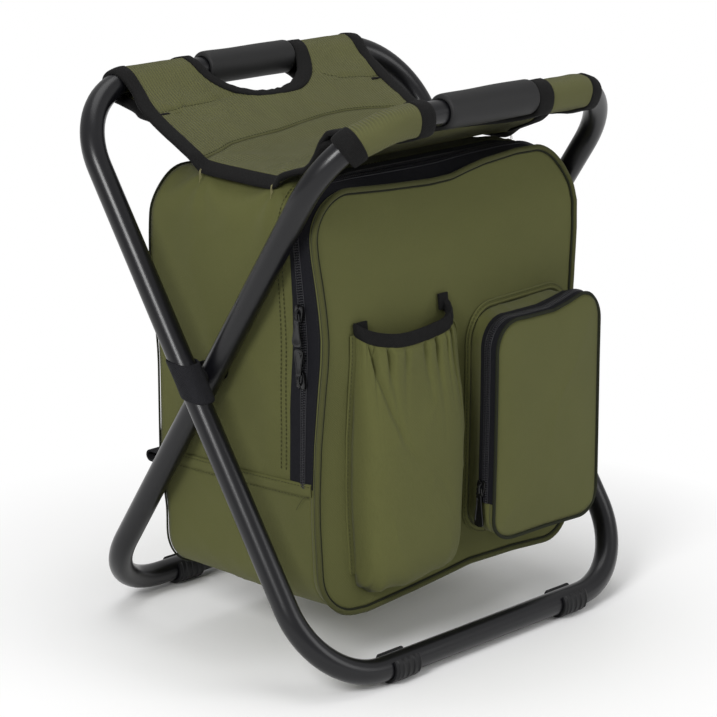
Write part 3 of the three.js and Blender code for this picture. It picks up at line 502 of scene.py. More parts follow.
def tape_like(name, color, pitch, depth):
    """Coarse ribbed webbing or zip tape."""
    p = Paint(name)
    yarns = weave(p, pitch, 0.0002)[0]
    tone = p.add(p.times(yarns, 0.35), p.noise(700.0, 2.0))
    base = p.mix(tone, shade(color, 0.6), shade(color, 1.5))
    return p.set(Base_Color=base, Roughness=0.8, Normal=p.bump(yarns, depth, 0.8),
                 Sheen_Weight=0.01, Sheen_Roughness=0.5, Specular_IOR_Level=0.12)


def moulded(name, color, rough, grain, depth, metal=0.0, coat=0.0, wear=0.12, spec=0.5):
    """Paint, plastic, foam or metal: fine grain, uneven gloss and slight wear."""
    p = Paint(name)
    fine = p.noise(grain, 2.0)
    smear = p.noise(18.0, 4.0, 0.65)
    gloss = p.add(p.times(smear, 0.16), rough - 0.08)
    base = p.mix(smear, shade(color, 1 - wear), shade(color, 1 + wear))
    return p.set(Base_Color=base, Roughness=gloss, Metallic=metal, Normal=p.bump(fine, depth, 0.5),
                 Coat_Weight=coat, Coat_Roughness=0.2, Specular_IOR_Level=spec)


OLIVE = (0.088, 0.091, 0.028)
SEAT = (0.091, 0.092, 0.034)
INK = (0.0042, 0.0042, 0.0056)
FINE, MEDIUM = 0.0003, 0.0005
cloth = woven("olive_oxford", OLIVE)
sling = woven("olive_sling", SEAT, ribs=0.0027, depth=0.00018)
thread = woven("olive_thread", shade(OLIVE, 0.55)[:3], FINE)
light_thread = woven("light_thread", (0.24, 0.22, 0.11), FINE)
# Dark piping; the same material also colours the dark cords painted as shade beside the front piping
edging = woven("dark_piping_and_groove_shade", (0.013, 0.015, 0.007), MEDIUM, sheen=0.0)
piping = woven("olive_piping", shade(OLIVE, 0.62)[:3], MEDIUM)
webbing = tape_like("black_webbing", (0.012, 0.012, 0.014), 0.0009, 0.0003)
binding = tape_like("black_binding", (0.0075, 0.0073, 0.0073), 0.0008, 0.00028)
tape = tape_like("zip_tape", (0.0078, 0.0078, 0.0102), MEDIUM, 0.00012)
coil = moulded("zip_coil", (0.012, 0.012, 0.0155), 0.42, 900.0, 0.00003)
paint = moulded("black_enamel", INK, 0.30, 1400.0, 0.000012, coat=0.10, spec=0.36)
foam = moulded("grip_foam", (0.0145, 0.0145, 0.015), 0.60, 1100.0, 0.00009, wear=0.2, spec=0.3)
plastic = moulded("black_plastic", (0.008, 0.008, 0.009), 0.48, 900.0, 0.00004, spec=0.3)
gunmetal = moulded("zip_enamel", (0.004, 0.004, 0.0045), 0.25, 600.0, 0.00001, coat=0.2, spec=0.35)
steel = moulded("rivet_steel", (0.06, 0.06, 0.062), 0.35, 700.0, 0.00002, metal=0.9)
foil = moulded("foil_lining", (0.50, 0.52, 0.53), 0.34, 120.0, 0.0004, metal=0.6)
white_foam = moulded("wall_foam", (0.70, 0.70, 0.67), 0.8, 500.0, 0.0002)


# Frame

def lean(p, tilt):
    """From a loop's own plane to its place in the stool."""
    c, s = math.cos(tilt), math.sin(tilt)
    q = np.array(p, float)
    y, z = q[..., 1].copy(), q[..., 2].copy()
    q[..., 1] = y * c + z * s
    q[..., 2] = -y * s + z * c + PIVOT
    return q


def loop(name, span, tilt, body, node):
    """A frame loop: one tube, bent round and closed."""
    pts, _ = rounded(0, span / 2, -LOWER, UPPER, BEND, BEND, step=5.0)
    v, f = rope(at(pts, 0.0), TUBE, sides=32, closed=True)
    piece(name, (lean(v, tilt), f), paint, [node], body)


def grip(name, shift, half, tilt, body, node):
    """A foam sleeve on an upper bar."""
    r = GRIP
    profile = [(-half, TUBE + 0.4), (-half - 0.2, r - 2.6), (-half + 0.5, r - 1.0), (-half + 2.2, r - 0.1),
               (-half + 8, r + 0.1), (-20, r - 0.15), (10, r + 0.1), (half - 8, r), (half - 2.2, r - 0.1),
               (half - 0.5, r - 1.0), (half + 0.2, r - 2.6), (half, TUBE + 0.4)]
    prof = spline(profile, 60)
    a = np.linspace(0, 2 * math.pi, 49)[:-1]
    p = np.zeros((len(prof), len(a), 3))
    p[..., 0] = prof[:, :1] + shift
    soft = 1 + 0.008 * np.sin(2 * a[None] + prof[:, :1] / 16) + 0.005 * np.sin(5 * a[None] - prof[:, :1] / 9)
    p[..., 1] = prof[:, 1:] * np.cos(a) * soft
    p[..., 2] = prof[:, 1:] * np.sin(a) * soft + UPPER
    v, f = grid(p, close_v=True)
    piece(name, (lean(v, tilt), f), foam, [node], body)


def clip(name, x, tilt, body, node):
    """A clip foot: a ribbed saddle round the bar, with a flat sole and a tab at each open edge."""
    half, inner, outer = 13.6, TUBE + 0.35, 12.4
    a0, a1 = math.radians(140), math.radians(400)
    lip = np.linspace(a0, a1, 37)
    xs = np.linspace(-half, half, 61)
    rib = 0.85 * ease(1.6 * np.cos(xs * 2 * math.pi / 6.0)) * (np.abs(xs) < 11.4)
    p = np.zeros((len(xs), 2 * len(lip), 3))
    end = 1 - 0.05 * ease((np.abs(xs) - 12.0) / 1.6)
    for k, ang in enumerate(lip):
        c, s = math.cos(ang), math.sin(ang)
        side = ease((0.45 - abs(s)) / 0.2) + ease((0.62 - abs(s)) / 0.1)
        r = (outer + rib * np.minimum(side, 1)) * end
        p[:, k, 1] = r * c
        p[:, k, 2] = np.maximum(r * s, -outer)
        p[:, -1 - k, 1] = inner * c
        p[:, -1 - k, 2] = inner * s
    p[..., 0] = xs[:, None] + x
    v, f = grid(p, close_v=True)
    n = 2 * len(lip)
    f += [(i, n - 1 - i, n - 2 - i, i + 1) for i in range(len(lip) - 1)]
    last = (len(xs) - 1) * n
    f += [(last + i, last + i + 1, last + n - 2 - i, last + n - 1 - i) for i in range(len(lip) - 1)]
    bar = lean(np.array([0.0, 0.0, -LOWER]), tilt)
    piece(name, (v + [0, bar[1], bar[2]], f), plastic, [node], body, sharp=35)


def wrap_collar(side, sign):
    """Webbing drawn round the outer leg, with its free corner towards the inner leg."""
    rows, count = 9, 40
    a = np.linspace(0, 2 * math.pi, count, endpoint=False)
    p = np.zeros((rows, count, 3))
    for i in range(rows):
        z = (i / (rows - 1) - 0.5) * 27.0
        flare = 0.5 * abs(i / (rows - 1) - 0.5)
        rx, ry = TUBE + 1.1 + flare, TUBE / math.cos(TILT) + 1.2 + flare
        power = np.where((np.cos(a) < 0) & (np.sin(a) < 0), 0.62, 0.94)
        cx = np.sign(np.cos(a)) * np.abs(np.cos(a)) ** power
        sy = np.sign(np.sin(a)) * np.abs(np.sin(a)) ** power
        p[i, :, 0] = sign * (OUTER / 2 + rx * cx)
        p[i, :, 1] = z * math.tan(TILT) + ry * sy
        p[i, :, 2] = PIVOT + z + 0.6 * np.sin(a * 2 + 1)
    wrap = turned(grid(p, close_v=True), sign > 0)
    piece(f"leg_collar_{side}", wrap, webbing, [f"pivot_collar_{side}"], "outer_frame",
          thick=1.5, offset=1, sub=1)


loop("outer_loop", OUTER, TILT, "outer_frame", "outer_loop_tube")
loop("inner_loop", INNER, -TILT, "inner_frame", "inner_loop_tube")
grip("grip_rear", 5.5, 46, TILT, "outer_frame", "rear_grip")
grip("grip_front", -3, 48, -TILT, "inner_frame", "front_grip")
for side, sign in SIDES.items():
    clip(f"foot_outer_{side}", sign * 97, TILT, "outer_frame", f"outer_foot_{side}")
    clip(f"foot_inner_{side}", sign * 64, -TILT, "inner_frame", f"inner_foot_{side}")
    wrap_collar(side, sign)


# Bag

BAG_FLAP = ("bag", "front_flap", (0, 0, 0.266), (0, 0, 0.292))
BAG_COVER = ("bag", "cover_flap", (0, 0, 0.107), (0, 0, 0.121))


def rings_at(line, ys, bend=warp):
    """A line's copies at each y, bent to the bag's sag."""
    return bend(np.array([at(line, y) for y in ys]))


def face_grid(shape, y, rows=30, step=4.0):
    """A face inside a rounded rectangle, as rings that shrink to its middle."""
    pts, _ = rounded(**shape, step=step)
    centre = np.array([shape["cx"], (shape["low"] + shape["high"]) / 2])
    p = np.array([at(centre + (pts - centre) * s, y) for s in np.linspace(1, 0.06, rows)])
    v, f = grid(p, close_v=True)
    n, last = len(pts), len(v)
    v = np.vstack([v, at(centre[None], y)])
    f += [(last - n + j, last, last - n + (j + 1) % n) for j in range(n)]
    return v, f


SEAM_FRONT = -97.0
STRIP = ZIP_Y - TAPE + 0.5
BAG_LINE, BAG_OUT = rounded(**BAG)


def seam_height(y):
    """Where the seam low on each side runs."""
    return 145.8 - 0.04 * (y + 60)


def build_bag_cloth():
    """The walls behind the main zip, with the strip below it, and the rear face."""
    back = ZIP_Y + 6
    ys = np.concatenate([np.linspace(STRIP, back, 6), np.linspace(back, REAR, 40)[1:]])
    p = rings_at(BAG_LINE, ys)
    n = np.broadcast_to(at(BAG_OUT, 0.0), p.shape)
    soft = ease((p[..., 1] + 72) / 20) * ease((82 - p[..., 1]) / 20)
    p = p + n * ((0.5 * waves(p, 60, 3) + 0.7 * creases(p, 85, 9)) * soft)[..., None]
    gathers = 0
    for place in TACKS:
        d = p - np.array([-132.0, place, 368.0])
        ang = np.arctan2(d[..., 1], -d[..., 2])
        r = np.linalg.norm(d[..., 1:], axis=-1)
        gathers = gathers + np.sin(ang * 7 + 1.3) * np.exp(-r / 34) * ease(r / 8)
    p = p + n * (1.6 * gathers * (np.abs(n[..., 0]) > 0.2))[..., None]
    strip = below(BAG_LINE, ZIP_END + 1)
    wrap = grid(p, close_v=True, keep=lambda i, j: i >= 5 or strip(i, j))
    v, f = face_grid(BAG, REAR)
    v = warp(v)
    v[:, 1] += 1.5 * waves(v, 120, 21) + 0.6 * creases(v, 70, 22)
    piece("bag_cloth", facing_out([wrap, (v, f)], BAG_MIDDLE), cloth, ["bag_shell"], thick=1.2)


def build_front_cloth():
    """The front face with the band of wall in front of the main zip."""
    v, f = face_grid(BAG, FRONT, rows=38)
    v = warp(v)
    edge = 1 - np.maximum(np.abs(v[:, 0]) / BAG["hw"], np.abs(v[:, 2] - 211) / 161) ** 6
    v[:, 1] -= edge * (0.8 * waves(v, 110, 31) + 0.9 * creases(v, 95, 33))
    band = grid(rings_at(BAG_LINE, np.linspace(FRONT, STRIP, 4)), close_v=True)
    piece("front_cloth", facing_out([(v, f), band], BAG_MIDDLE), cloth, ["flap_panel"], blend=BAG_FLAP,
          thick=1.2)


def build_bag_piping():
    """Piping round the front face, dark cords painted as the shade in the seam hollows on each side of it,
    and the plain edge of the rear face.
    """
    def round_bag(y, out, radius, sides=10):
        """A cord round the bag."""
        return rope(warp(at(BAG_LINE, y, BAG_OUT, out)), radius, sides=sides, closed=True)

    piece("piping_front", round_bag(FRONT - 0.6, 1.2, 2.1), piping, ["front_piping", "flap_piping"],
          blend=BAG_FLAP)
    # Two dark cords painted as the shade in the seam hollows on each side of the front piping
    grooves = [round_bag(y, out, 0.8, 8) for y, out in ((FRONT - 0.7, -1.5), (FRONT + 2.4, 0.6))]
    piece("piping_groove_shade", merge(grooves), edging, blend=BAG_FLAP)
    piece("piping_rear", round_bag(REAR + 0.6, 1.0, 0.8), edging, ["rear_piping"])


def build_bag_stitches():
    """Stitches along the side seams and beside the main zip."""
    runs = []
    for off in (2.9, -5.6):
        for sign in (-1, 1):
            ys = np.linspace(SEAM_FRONT + 1, REAR - 6, 70)
            seam = np.stack([np.full(70, sign * 142.3), ys, seam_height(ys) + off], 1)
            runs.append(stitching(warp(seam), (sign, 0, 0)))
    for y in (-65.2, -60.2):
        line, ln = arch(BAG, ZIP_END + 6)
        runs.append(stitching(warp(at(line, y, ln, 0.9)), at(ln, 0.0), thick=0.45))
    piece("side_stitches", merge(runs), thread)
    line, ln = arch(BAG, ZIP_END)
    run = stitching(warp(at(line, STRIP - 1.6, ln, 0.3)), at(ln, 0.0))
    piece("strip_stitches", run, thread, blend=BAG_FLAP)


def build_seam_ridges():
    """The horizontal seam low on each side: a doubled edge of cloth that ends under the zip."""
    parts = []
    for sign in (-1, 1):
        ys = np.linspace(SEAM_FRONT, REAR - 2, 80)
        section = [(-5.0, 0.0), (-4.6, 1.0), (0, 1.5), (4.2, 1.5), (4.8, 0.9), (5.0, 0.0)]
        path = warp(np.stack([np.full(80, sign * 140.7), ys, seam_height(ys)], 1))
        parts.append(sweep(path, (0, 0, 1.0), (sign * 1.0, 0, 0), section))
    piece("side_seams", merge(parts), cloth, sharp=50)
    start = warp(np.array([[-142.6, SEAM_FRONT + 1.5, seam_height(SEAM_FRONT) - 4.6]]))[0]
    loose = [start, start + [-0.8, 5, -2.0], start + [-0.9, 9, -7.0], start + [-0.4, 13, -12.5]]
    piece("seam_thread", rope(spline(loose, 14), 0.22, sides=6), thread)


TAPE_PROFILE = ((0.015, 0.6), (0.12, 0.62), (0.25, 0.55), (0.5, 0.4), (0.75, 0.35), (0.97, 0.25), (1, -0.3))


def zip_half(name, shape, end, y, direction, widths, nodes, blend=None, bend=warp):
    """Half a zip: tape with its coil along the meeting edge. widths give its width by height."""
    line, ln = arch(shape, end, step=3.0)
    width = np.interp(line[:, 1], *widths)
    rows = [bend(at(line, y + direction * share * width, ln, lift)) for share, lift in TAPE_PROFILE]
    piece(f"{name}_tape", grid(np.array(rows)), tape, nodes, blend=blend, thick=0.7, offset=0, sharp=40)
    pts, along, up = resample(bend(at(line, y + direction * 1.2, ln, 1.5)), 1.9, at(ln, 0.0))
    teeth = beads(pts + along * (0.47 * direction), unit(np.cross(along, up)), up, 1.55, 0.6, 0.85)
    cord = rope(bend(at(line, y + direction * 3.0, ln, 1.1)), 0.45, sides=6)
    piece(f"{name}_coil", merge([teeth, cord]), coil, blend=blend)


SLIDER_LINE = [(-3.9, 6.2), (-4.2, 3.0), (-3.8, 0), (-3.2, -3.4), (-1.9, -6.0), (0, -6.7), (1.9, -6.0),
               (3.2, -3.4), (3.8, 0), (4.2, 3.0), (3.9, 6.2), (1.6, 6.9), (0, 5.2), (-1.6, 6.9)]
SLIDER_LAYERS = ((2.9, 0.86), (3.1, 0.97), (3.7, 1.0), (5.1, 0.99), (5.6, 0.93), (5.8, 0.8))
PULL_EYE = [(-1.9, -0.9), (1.9, -0.9), (2.3, 2.5), (2.5, 4.2), (-2.5, 4.2), (-2.3, 2.5)]
PULL_LAYERS = ((-0.15, 0.05), (-0.75, 0.80), (-0.85, 0.93), (-0.45, 1.0), (0.45, 1.0), (0.85, 0.93),
               (0.75, 0.80), (0.2, 0.70), (0.15, 0.05))


def slider(name, wall, y, direction, node, body):
    """A zip slider with its bridge, on a wall at x; direction is up or down, where its nose points."""
    z = SLIDER_HEIGHTS[name]
    shape = closed_curve(SLIDER_LINE, 56) * [1, -direction]
    rings = [np.column_stack([np.full(len(shape), wall - lift), [y, z] + shape * grow])
             for lift, grow in SLIDER_LAYERS]
    body_shape = tube(np.array(rings), first=1)
    arc = np.linspace(-1, 1, 13)
    bridge = np.stack([wall - 5.4 - 2.3 * (1 - np.abs(arc) ** 3), np.full(13, y), z + arc * 3.9], 1)
    piece(f"slider_{name}", merge([body_shape, rope(bridge, 1.05)]), gunmetal, [node], body, sharp=35)


def pull(name, wall, y, length, direction, node, body):
    """A slider's pull: a ring through the bridge and a flared leaf; direction is where the leaf points."""
    z, lift, tip = SLIDER_HEIGHTS[name], wall - 7.1, length + 2.0

    def layer(curve, x):
        """A flat curve beside the wall."""
        return np.stack([np.full(len(curve), x), y + curve[:, 0], z + direction * curve[:, 1]], 1)

    eye = rope(layer(closed_curve(PULL_EYE, 36), lift), 0.62, up=(1, 0, 0), sides=8, closed=True)
    leaf = [(-2.2, 3.6), (-2.8, tip * 0.42), (-4.4, tip - 4.4), (-3.7, tip - 1.0), (0, tip), (3.7, tip - 1.0),
            (4.4, tip - 4.4), (2.8, tip * 0.42), (2.2, 3.6), (0, 3.2)]
    leaf = closed_curve(leaf, 60)
    middle = leaf.mean(0)
    rows = [layer(middle + (leaf - middle) * grow, lift - out) for out, grow in PULL_LAYERS]
    piece(f"pull_{name}", merge([tube(np.array(rows), first=1), eye]), gunmetal, [node], body, sharp=40)


def build_zips():
    """The main zip's two halves, and all three sliders with their pulls."""
    rear_width = ([148, 205, 250, 290, 320, 345, 365], [15.5, 15, 12.5, 9.5, 9, 13, 15.5])
    zip_half("zip_rear", BAG, ZIP_END - 4, ZIP_Y, 1, rear_width, ["main_zip_rear_half"])
    zip_half("zip_front", BAG, ZIP_END - 4, ZIP_Y, -1, ([150], [14.2]),
             ["main_zip_flap_half", "main_zip_lower_left", "main_zip_lower_right"], BAG_FLAP)
    wall = -BAG["hw"]
    slider("upper", wall, -82.2, -1, "main_slider_upper", "upper_slider")
    pull("upper", wall, -82.2, 22, -1, "main_pull_upper", "upper_pull")
    slider("lower", wall, -84.2, 1, "main_slider_lower", "lower_slider")
    pull("lower", wall, -84.2, 22, 1, "main_pull_lower", "lower_pull")
    slider("pocket", 9.6, POCKET_ZIP, -1, "pocket_slider", "small_slider")
    pull("pocket", 9.6, POCKET_ZIP, 28, -1, "pocket_pull", "small_pull")


def corner_reach(xs, half, radius):
    """How far a rounded corner reaches beyond its centre at each x."""
    return np.sqrt(np.maximum(0, radius ** 2 - np.maximum(0, np.abs(xs) - (half - radius)) ** 2))


def upright(xs, y, low, high, rows):
    """A flat upright sheet of columns at xs, from low to high."""
    z = low + (high - low) * np.linspace(0, 1, rows)[:, None]
    return grid(warp(np.stack(np.broadcast_arrays(xs[None], y, z), -1)))


def lining(name, inset, mat, kind, thick):
    """One layer inside the walls, and one behind the flap."""
    shape = dict(cx=0, hw=BAG["hw"] - inset, low=BAG["low"] + inset, high=BAG["high"] - inset,
                 rt=BAG["rt"] - inset, rb=BAG["rb"] - inset)
    pts, _ = rounded(**shape, step=8.0)
    wrap = grid(rings_at(pts, np.linspace(ZIP_Y + 1, REAR - inset, 14)), close_v=True)
    lower = grid(rings_at(pts, np.linspace(FRONT + inset, ZIP_Y + 1, 4)), close_v=True, keep=below(pts, FOLD))
    v, f = face_grid(shape, REAR - inset, rows=14, step=8.0)
    xs = np.linspace(-shape["hw"] + 1, shape["hw"] - 1, 33)
    floor = shape["low"] + shape["rb"] - corner_reach(xs, shape["hw"], shape["rb"])
    front = upright(xs, FRONT + inset, floor, FOLD, 25)
    parts = [wrap, lower, (warp(v), f), front]
    piece(f"wall_{name}", facing_out(parts, BAG_MIDDLE), mat, [f"bag_{kind}"], thick=thick, sharp=50)
    xs = np.linspace(-shape["hw"] + 3, shape["hw"] - 3, 33)
    top = shape["high"] - shape["rt"] + corner_reach(xs, shape["hw"], shape["rt"]) - 2
    flap = upright(xs, FRONT + inset, FOLD + 1, top, 13)
    piece(f"flap_{name}", outwards(flap, BAG_MIDDLE), mat, [f"flap_{kind}"], "front_flap",
          thick=thick, sharp=50)


# Pockets

BOTTLE = dict(left=-110.0, right=-10.0, low=64.0, high=272.0, dip=12.5, deep=27.0)


def bottle_lean(x, z):
    """How far the pocket's left edge leans out of the upright at a height."""
    return ease((-40 - x) / 60) * (3.5 - 5.5 * np.clip((z - 78) / 180, 0, 1.1))


PLEATS = ((0.17, 0.0035, 0.022, 46, 7.5), (0.32, 0.0012, 0.016, 26, 5.0), (0.74, 0.0006, 0.018, 36, 6.5),
          (0.87, 0.0009, 0.018, 48, 6.5), (0.60, -0.0004, 0.014, 24, 4.5))


def bottle_at(u, v, skin=0.0):
    """A point of the bottle pocket: u across from left to right, v from its foot to its rim."""
    b = BOTTLE
    u, v = np.broadcast_arrays(np.asarray(u, float), np.asarray(v, float))
    arc = np.clip(np.sin(np.pi * u), 0, 1)
    rim = b["high"] + 3 * u - b["dip"] * arc ** 1.3
    foot = b["low"] - 3.5 * arc + 14 * np.exp(-u / 0.15)
    z = foot + v * (rim - foot)
    belly = 1 - (1 - np.clip(np.sqrt(v / 0.16), 0, 1)) ** 2
    high = ease((v - 0.55) / 0.45)
    deep = b["deep"] * belly * (1 - 0.44 * high) * arc ** (0.55 + 0.4 * high)
    cx = np.cos(np.pi * u)
    half = (b["right"] - b["left"]) / 2
    x = (b["left"] + b["right"]) / 2 - np.sign(cx) * np.abs(cx) ** (0.62 + 0.2 * high) * half
    # Gathers and pleats that run down from the elastic
    dist = np.maximum((1 - v) * (rim - foot) - 9.5, 0)
    valley = (0.5 + 0.5 * np.cos(2 * np.pi * (12 * u + 0.3 * np.sin(9 * u)))) ** 4
    gather = 7.5 * np.exp(-dist / 17.0) * valley * (0.65 + 0.35 * np.sin(37 * u))
    for u0, slope, wide, tall, depth in PLEATS:
        gather = gather + depth * np.exp(-((u - u0 - slope * dist) / wide) ** 2) * np.exp(-dist / tall)
    long = np.exp(-dist / 75.0) * np.sin(2 * np.pi * (3.1 * u + 0.006 * dist)) * 1.2
    gather = 3.2 * np.exp(-dist / 22) - gather
    deep = deep + arc ** 0.7 * ease((dist + 1.0) / 6) * gather + arc * long * high
    # Folds at the foot
    foot_fold = np.exp(-v / 0.045) * np.sin(2 * np.pi * (u * 7.3 + 0.3 * np.sin(7 * u))) * 2.0
    deep = deep + foot_fold * arc
    z = z + np.exp(-v / 0.05) * np.sin(2 * np.pi * (u * 5.1 + 0.2)) * 1.6 * arc
    # The right side is drawn in at the rim and spreads below it
    right = 5.0 * ease(dist / 9) * np.exp(-dist / 60) - 4.5 * ease((14 - dist) / 14) * high
    x = x + ease((u - 0.72) / 0.28) * right
    x = x + bottle_lean(x, z)
    x = x + 1.2 * arc * np.sin(2 * np.pi * (z / 150 + 0.2)) * (1 - v)
    p = np.stack([x, FRONT - 1.0 - deep - skin * arc ** 0.5, z], -1)
    p[..., 0] += np.where(cx > 0, -1, 1) * skin * np.abs(cx)
    return p


BINDING_LINE = ((0.0, 0.5), (0.8, 1.3), (5.0, 1.9), (9.4, 1.7), (11.0, 0.6), (10.6, -1.4), (9.6, -2.6),
                (5.0, -2.9), (0.8, -2.5), (0.0, -1.4))


def build_bottle_cloth():
    """The open pocket's gathered cloth."""
    us, vs = np.linspace(0, 1, 190), 1 - np.linspace(1, 0, 100) ** 1.35
    p = warp(bottle_at(us[:, None], vs[None, :]))
    p[..., 1] -= 0.7 * creases(p, 60, 41) * ease(vs * 6)[None]
    piece("bottle_cloth", outwards(grid(p), BOTTLE_MIDDLE), cloth, ["bottle_pocket"],
          thick=1.1)


def build_bottle_binding():
    """The elastic binding round the open pocket's rim, and the tabs that hold its ends."""
    ridge = np.linspace(0.0, 1.0, 130)
    span = BOTTLE["high"] - BOTTLE["low"]
    rows = []
    for along, out in BINDING_LINE:
        v = 1 + (along - 10.0) / span
        flat = bottle_at(ridge, np.full_like(ridge, min(v, 1.0)), out)
        smooth = bottle_at(ridge, np.full_like(ridge, 0.999), out)
        flat[:, 1] = 0.25 * flat[:, 1] + 0.75 * smooth[:, 1]
        flat[:, 2] += max(0, v - 1.0) * span
        rows.append(warp(flat))
    parts = [tube(np.array(rows).transpose(1, 0, 2), first=1, last=-1)]
    for x, z in ((-106.0, 261), (-17.5, 267)):
        path = np.array([[x, FRONT - 1.6, z + h] for h in (0, 4, 8, 12)])
        parts.append(sweep(warp(path), (1.0, 0, 0), (0, -1.0, 0), [(-5, 0), (5, 0), (5, 1.6), (-5, 1.6)]))
    piece("bottle_binding", merge(parts), binding, ["bottle_pocket_elastic"], sharp=50)


def build_bottle_edges():
    """The flat edges by which the open pocket is sewn down, with their stitches."""
    z = np.linspace(BOTTLE["low"] + 14, BOTTLE["high"] - 8, 60)

    def upright_line(x, y):
        """A line that leans with the pocket's side."""
        return warp(np.stack([x + bottle_lean(x, z), np.full(60, y), z], 1))

    parts = [sweep(upright_line(x, FRONT - 0.4), (1.0, 0, 0), (0, -1.0, 0),
                   [(-w, 0), (-w + 0.4, 0.9), (w, 1.3), (w, 0)]) for x, w in ((-111.5, 3.6), (-9.0, 3.0))]
    piece("bottle_flanges", merge(parts), cloth, sharp=50)
    runs = [stitching(upright_line(x, FRONT - 1.6), (0, -1, 0)) for x in (-113.6, -109.6, -8.4)]
    piece("bottle_stitches", merge(runs), thread)


def pocket_warp(p):
    """The zipped pocket's flare towards its front, on top of the bag's own sag."""
    q = warp(p)
    x, y, z = p[..., 0], p[..., 1], p[..., 2]
    flare = ease((FRONT - y) / 26)
    share = (x - POCKET["cx"]) / POCKET["hw"]
    q[..., 0] += flare * (2.2 * ease(share) - 6.8 * ease(-share))
    sag = np.interp(x, [14, 45, 77, 95, 110, 122, 133], [-1, -3.5, -4.5, -1.5, 2, 3, 2])
    q[..., 2] += flare * ease((z - POCKET_MIDDLE[2]) / 80) * sag
    return q


POCKET_LINE, POCKET_OUT = rounded(**POCKET, step=3.0)
POCKET_FRONT = FRONT - POCKET_DEPTH
HALF_ZIP = 7.0
COVER_EDGE = POCKET_ZIP - HALF_ZIP + 2.5


def build_pocket_side():
    """The zipped pocket's side behind its zip, and below the zip's ends."""
    gusset = rings_at(POCKET_LINE, np.linspace(FRONT, POCKET_ZIP + HALF_ZIP, 8), pocket_warp)
    n = np.broadcast_to(at(POCKET_OUT, 0.0), gusset.shape)
    hollow = 1.6 * np.sin(np.linspace(0, 1, 8) * np.pi)[:, None] * 0.5
    gusset = gusset + n * (0.8 * creases(gusset, 45, 51) - hollow)[..., None]
    lower = grid(rings_at(POCKET_LINE, np.linspace(POCKET_ZIP + HALF_ZIP, COVER_EDGE, 4), pocket_warp),
                 close_v=True, keep=below(POCKET_LINE, COVER_FOLD + 2))
    parts = [grid(gusset, close_v=True), lower]
    piece("pocket_gusset", facing_out(parts, POCKET_MIDDLE), cloth, ["pocket_body"], thick=1.1)


def build_pocket_face():
    """The zipped pocket's cover with its piping."""
    v, f = face_grid(POCKET, POCKET_FRONT, rows=26, step=3.0)
    across, up = np.abs(v[:, 0] - POCKET["cx"]) / POCKET["hw"], np.abs(v[:, 2] - POCKET_MIDDLE[2]) / 90
    edge = 1 - np.maximum(across, up) ** 4
    v = pocket_warp(v)
    v[:, 1] -= edge * (3.2 + 0.7 * waves(v, 80, 61) + 0.6 * creases(v, 70, 62))
    v[:, 1] = np.maximum(v[:, 1], COVER_LIMIT)
    band = grid(rings_at(POCKET_LINE, np.linspace(POCKET_FRONT, COVER_EDGE, 3), pocket_warp), close_v=True)
    piece("pocket_face", facing_out([(v, f), band], POCKET_MIDDLE), cloth, ["pocket_cover"],
          blend=BAG_COVER, thick=1.1)
    ring = pocket_warp(at(POCKET_LINE, POCKET_FRONT - 0.4, POCKET_OUT, 0.9))
    piece("pocket_piping", rope(ring, 1.35, closed=True), edging,
          ["pocket_cover_piping", "pocket_lower_piping"], blend=BAG_COVER)


def build_pocket_root():
    """The seam by which the zipped pocket is sewn to the front."""
    def ring(y, out):
        """A line round the pocket's foot."""
        return pocket_warp(at(POCKET_LINE, y, POCKET_OUT, out))

    piece("pocket_root", rope(ring(FRONT - 1.2, 2.2), 1.0, closed=True), cloth)
    flange = np.array([ring(FRONT - 0.8, out) for out in (0.5, 3.0, 6.2)])
    piece("pocket_flange", grid(flange, close_v=True), cloth, thick=1.0, offset=0)
    line = ring(FRONT - 1.9, 5.2)
    piece("pocket_stitches", stitching(np.vstack([line, line[:1]]), (0, -1, 0)), thread)


build_bag_cloth()
build_front_cloth()
build_bag_piping()
build_bag_stitches()
build_seam_ridges()
build_zips()
lining("foam", 2.2, white_foam, "insulation", 4.6)
lining("foil", 7.2, foil, "liner", 0.6)
build_bottle_cloth()
build_bottle_binding()
build_bottle_edges()
build_pocket_side()
build_pocket_face()
zip_half("pocket_rear", POCKET, COVER_FOLD, POCKET_ZIP, 1, ([150], [HALF_ZIP + 2.2]),
         ["pocket_zip_rear_half"], bend=pocket_warp)
zip_half("pocket_front", POCKET, COVER_FOLD, POCKET_ZIP, -1, ([150], [9.0]),
         ["pocket_zip_cover_half"], BAG_COVER, pocket_warp)
build_pocket_root()


# Seat

SHEET_TOP = [(0, 374.6), (14, 374.8), (28, 375.2), (38, 376.2), (44, 378.4), (49, 380.6), (60, 385.8),
             (69, 390.2), (80, 396.3), (91, 403), (100, 408.8), (108, 414.6), (115, 420.6), (120.5, 426.2),
             (126, 431.2), (133.2, 434.1)]
SHEET_ROUND = [(133.2, 434.1), (140, 432.3), (144.3, 427), (144.8, 420), (142, 412.9), (134, 410.0)]
SHEET_UNDER = [(88, 401.0), (91, 402.0), (95, 402.2), (102, 402.7), (112, 403.8), (124, 406.5), (134, 410.0)]
HEM_LIFT = ([-122, -112, -101, -94, -89, -84, -77, -68, -58, -46, -30, 0, 36, 64, 91, 110],
            [0, 3, 6, 3, -4, -8, -9.5, -6.7, -5.2, -3.8, -2, -1, -1, 0, -1, 0])
QUILT = ([-134, -103, -87, -65, -33, 0, 26, 50, 72, 100, 134],
         [38, 44.6, 49.8, 52.4, 54.4, 59.5, 62.9, 63.9, 62.5, 58, 50])
FRONT_LINE = 49.0
SLEEVE_SEAM = ([-136, -122, -105, -80, -63, -44, 44, 54, 64, 74, 90, 116, 130],
               [92.6, 93.3, 93.8, 94.2, 95.4, 97.2, 112, 107, 102, 98.4, 96, 94.5, 94])
SLOT_Y, SLOT_RY = 133.2, 38.5
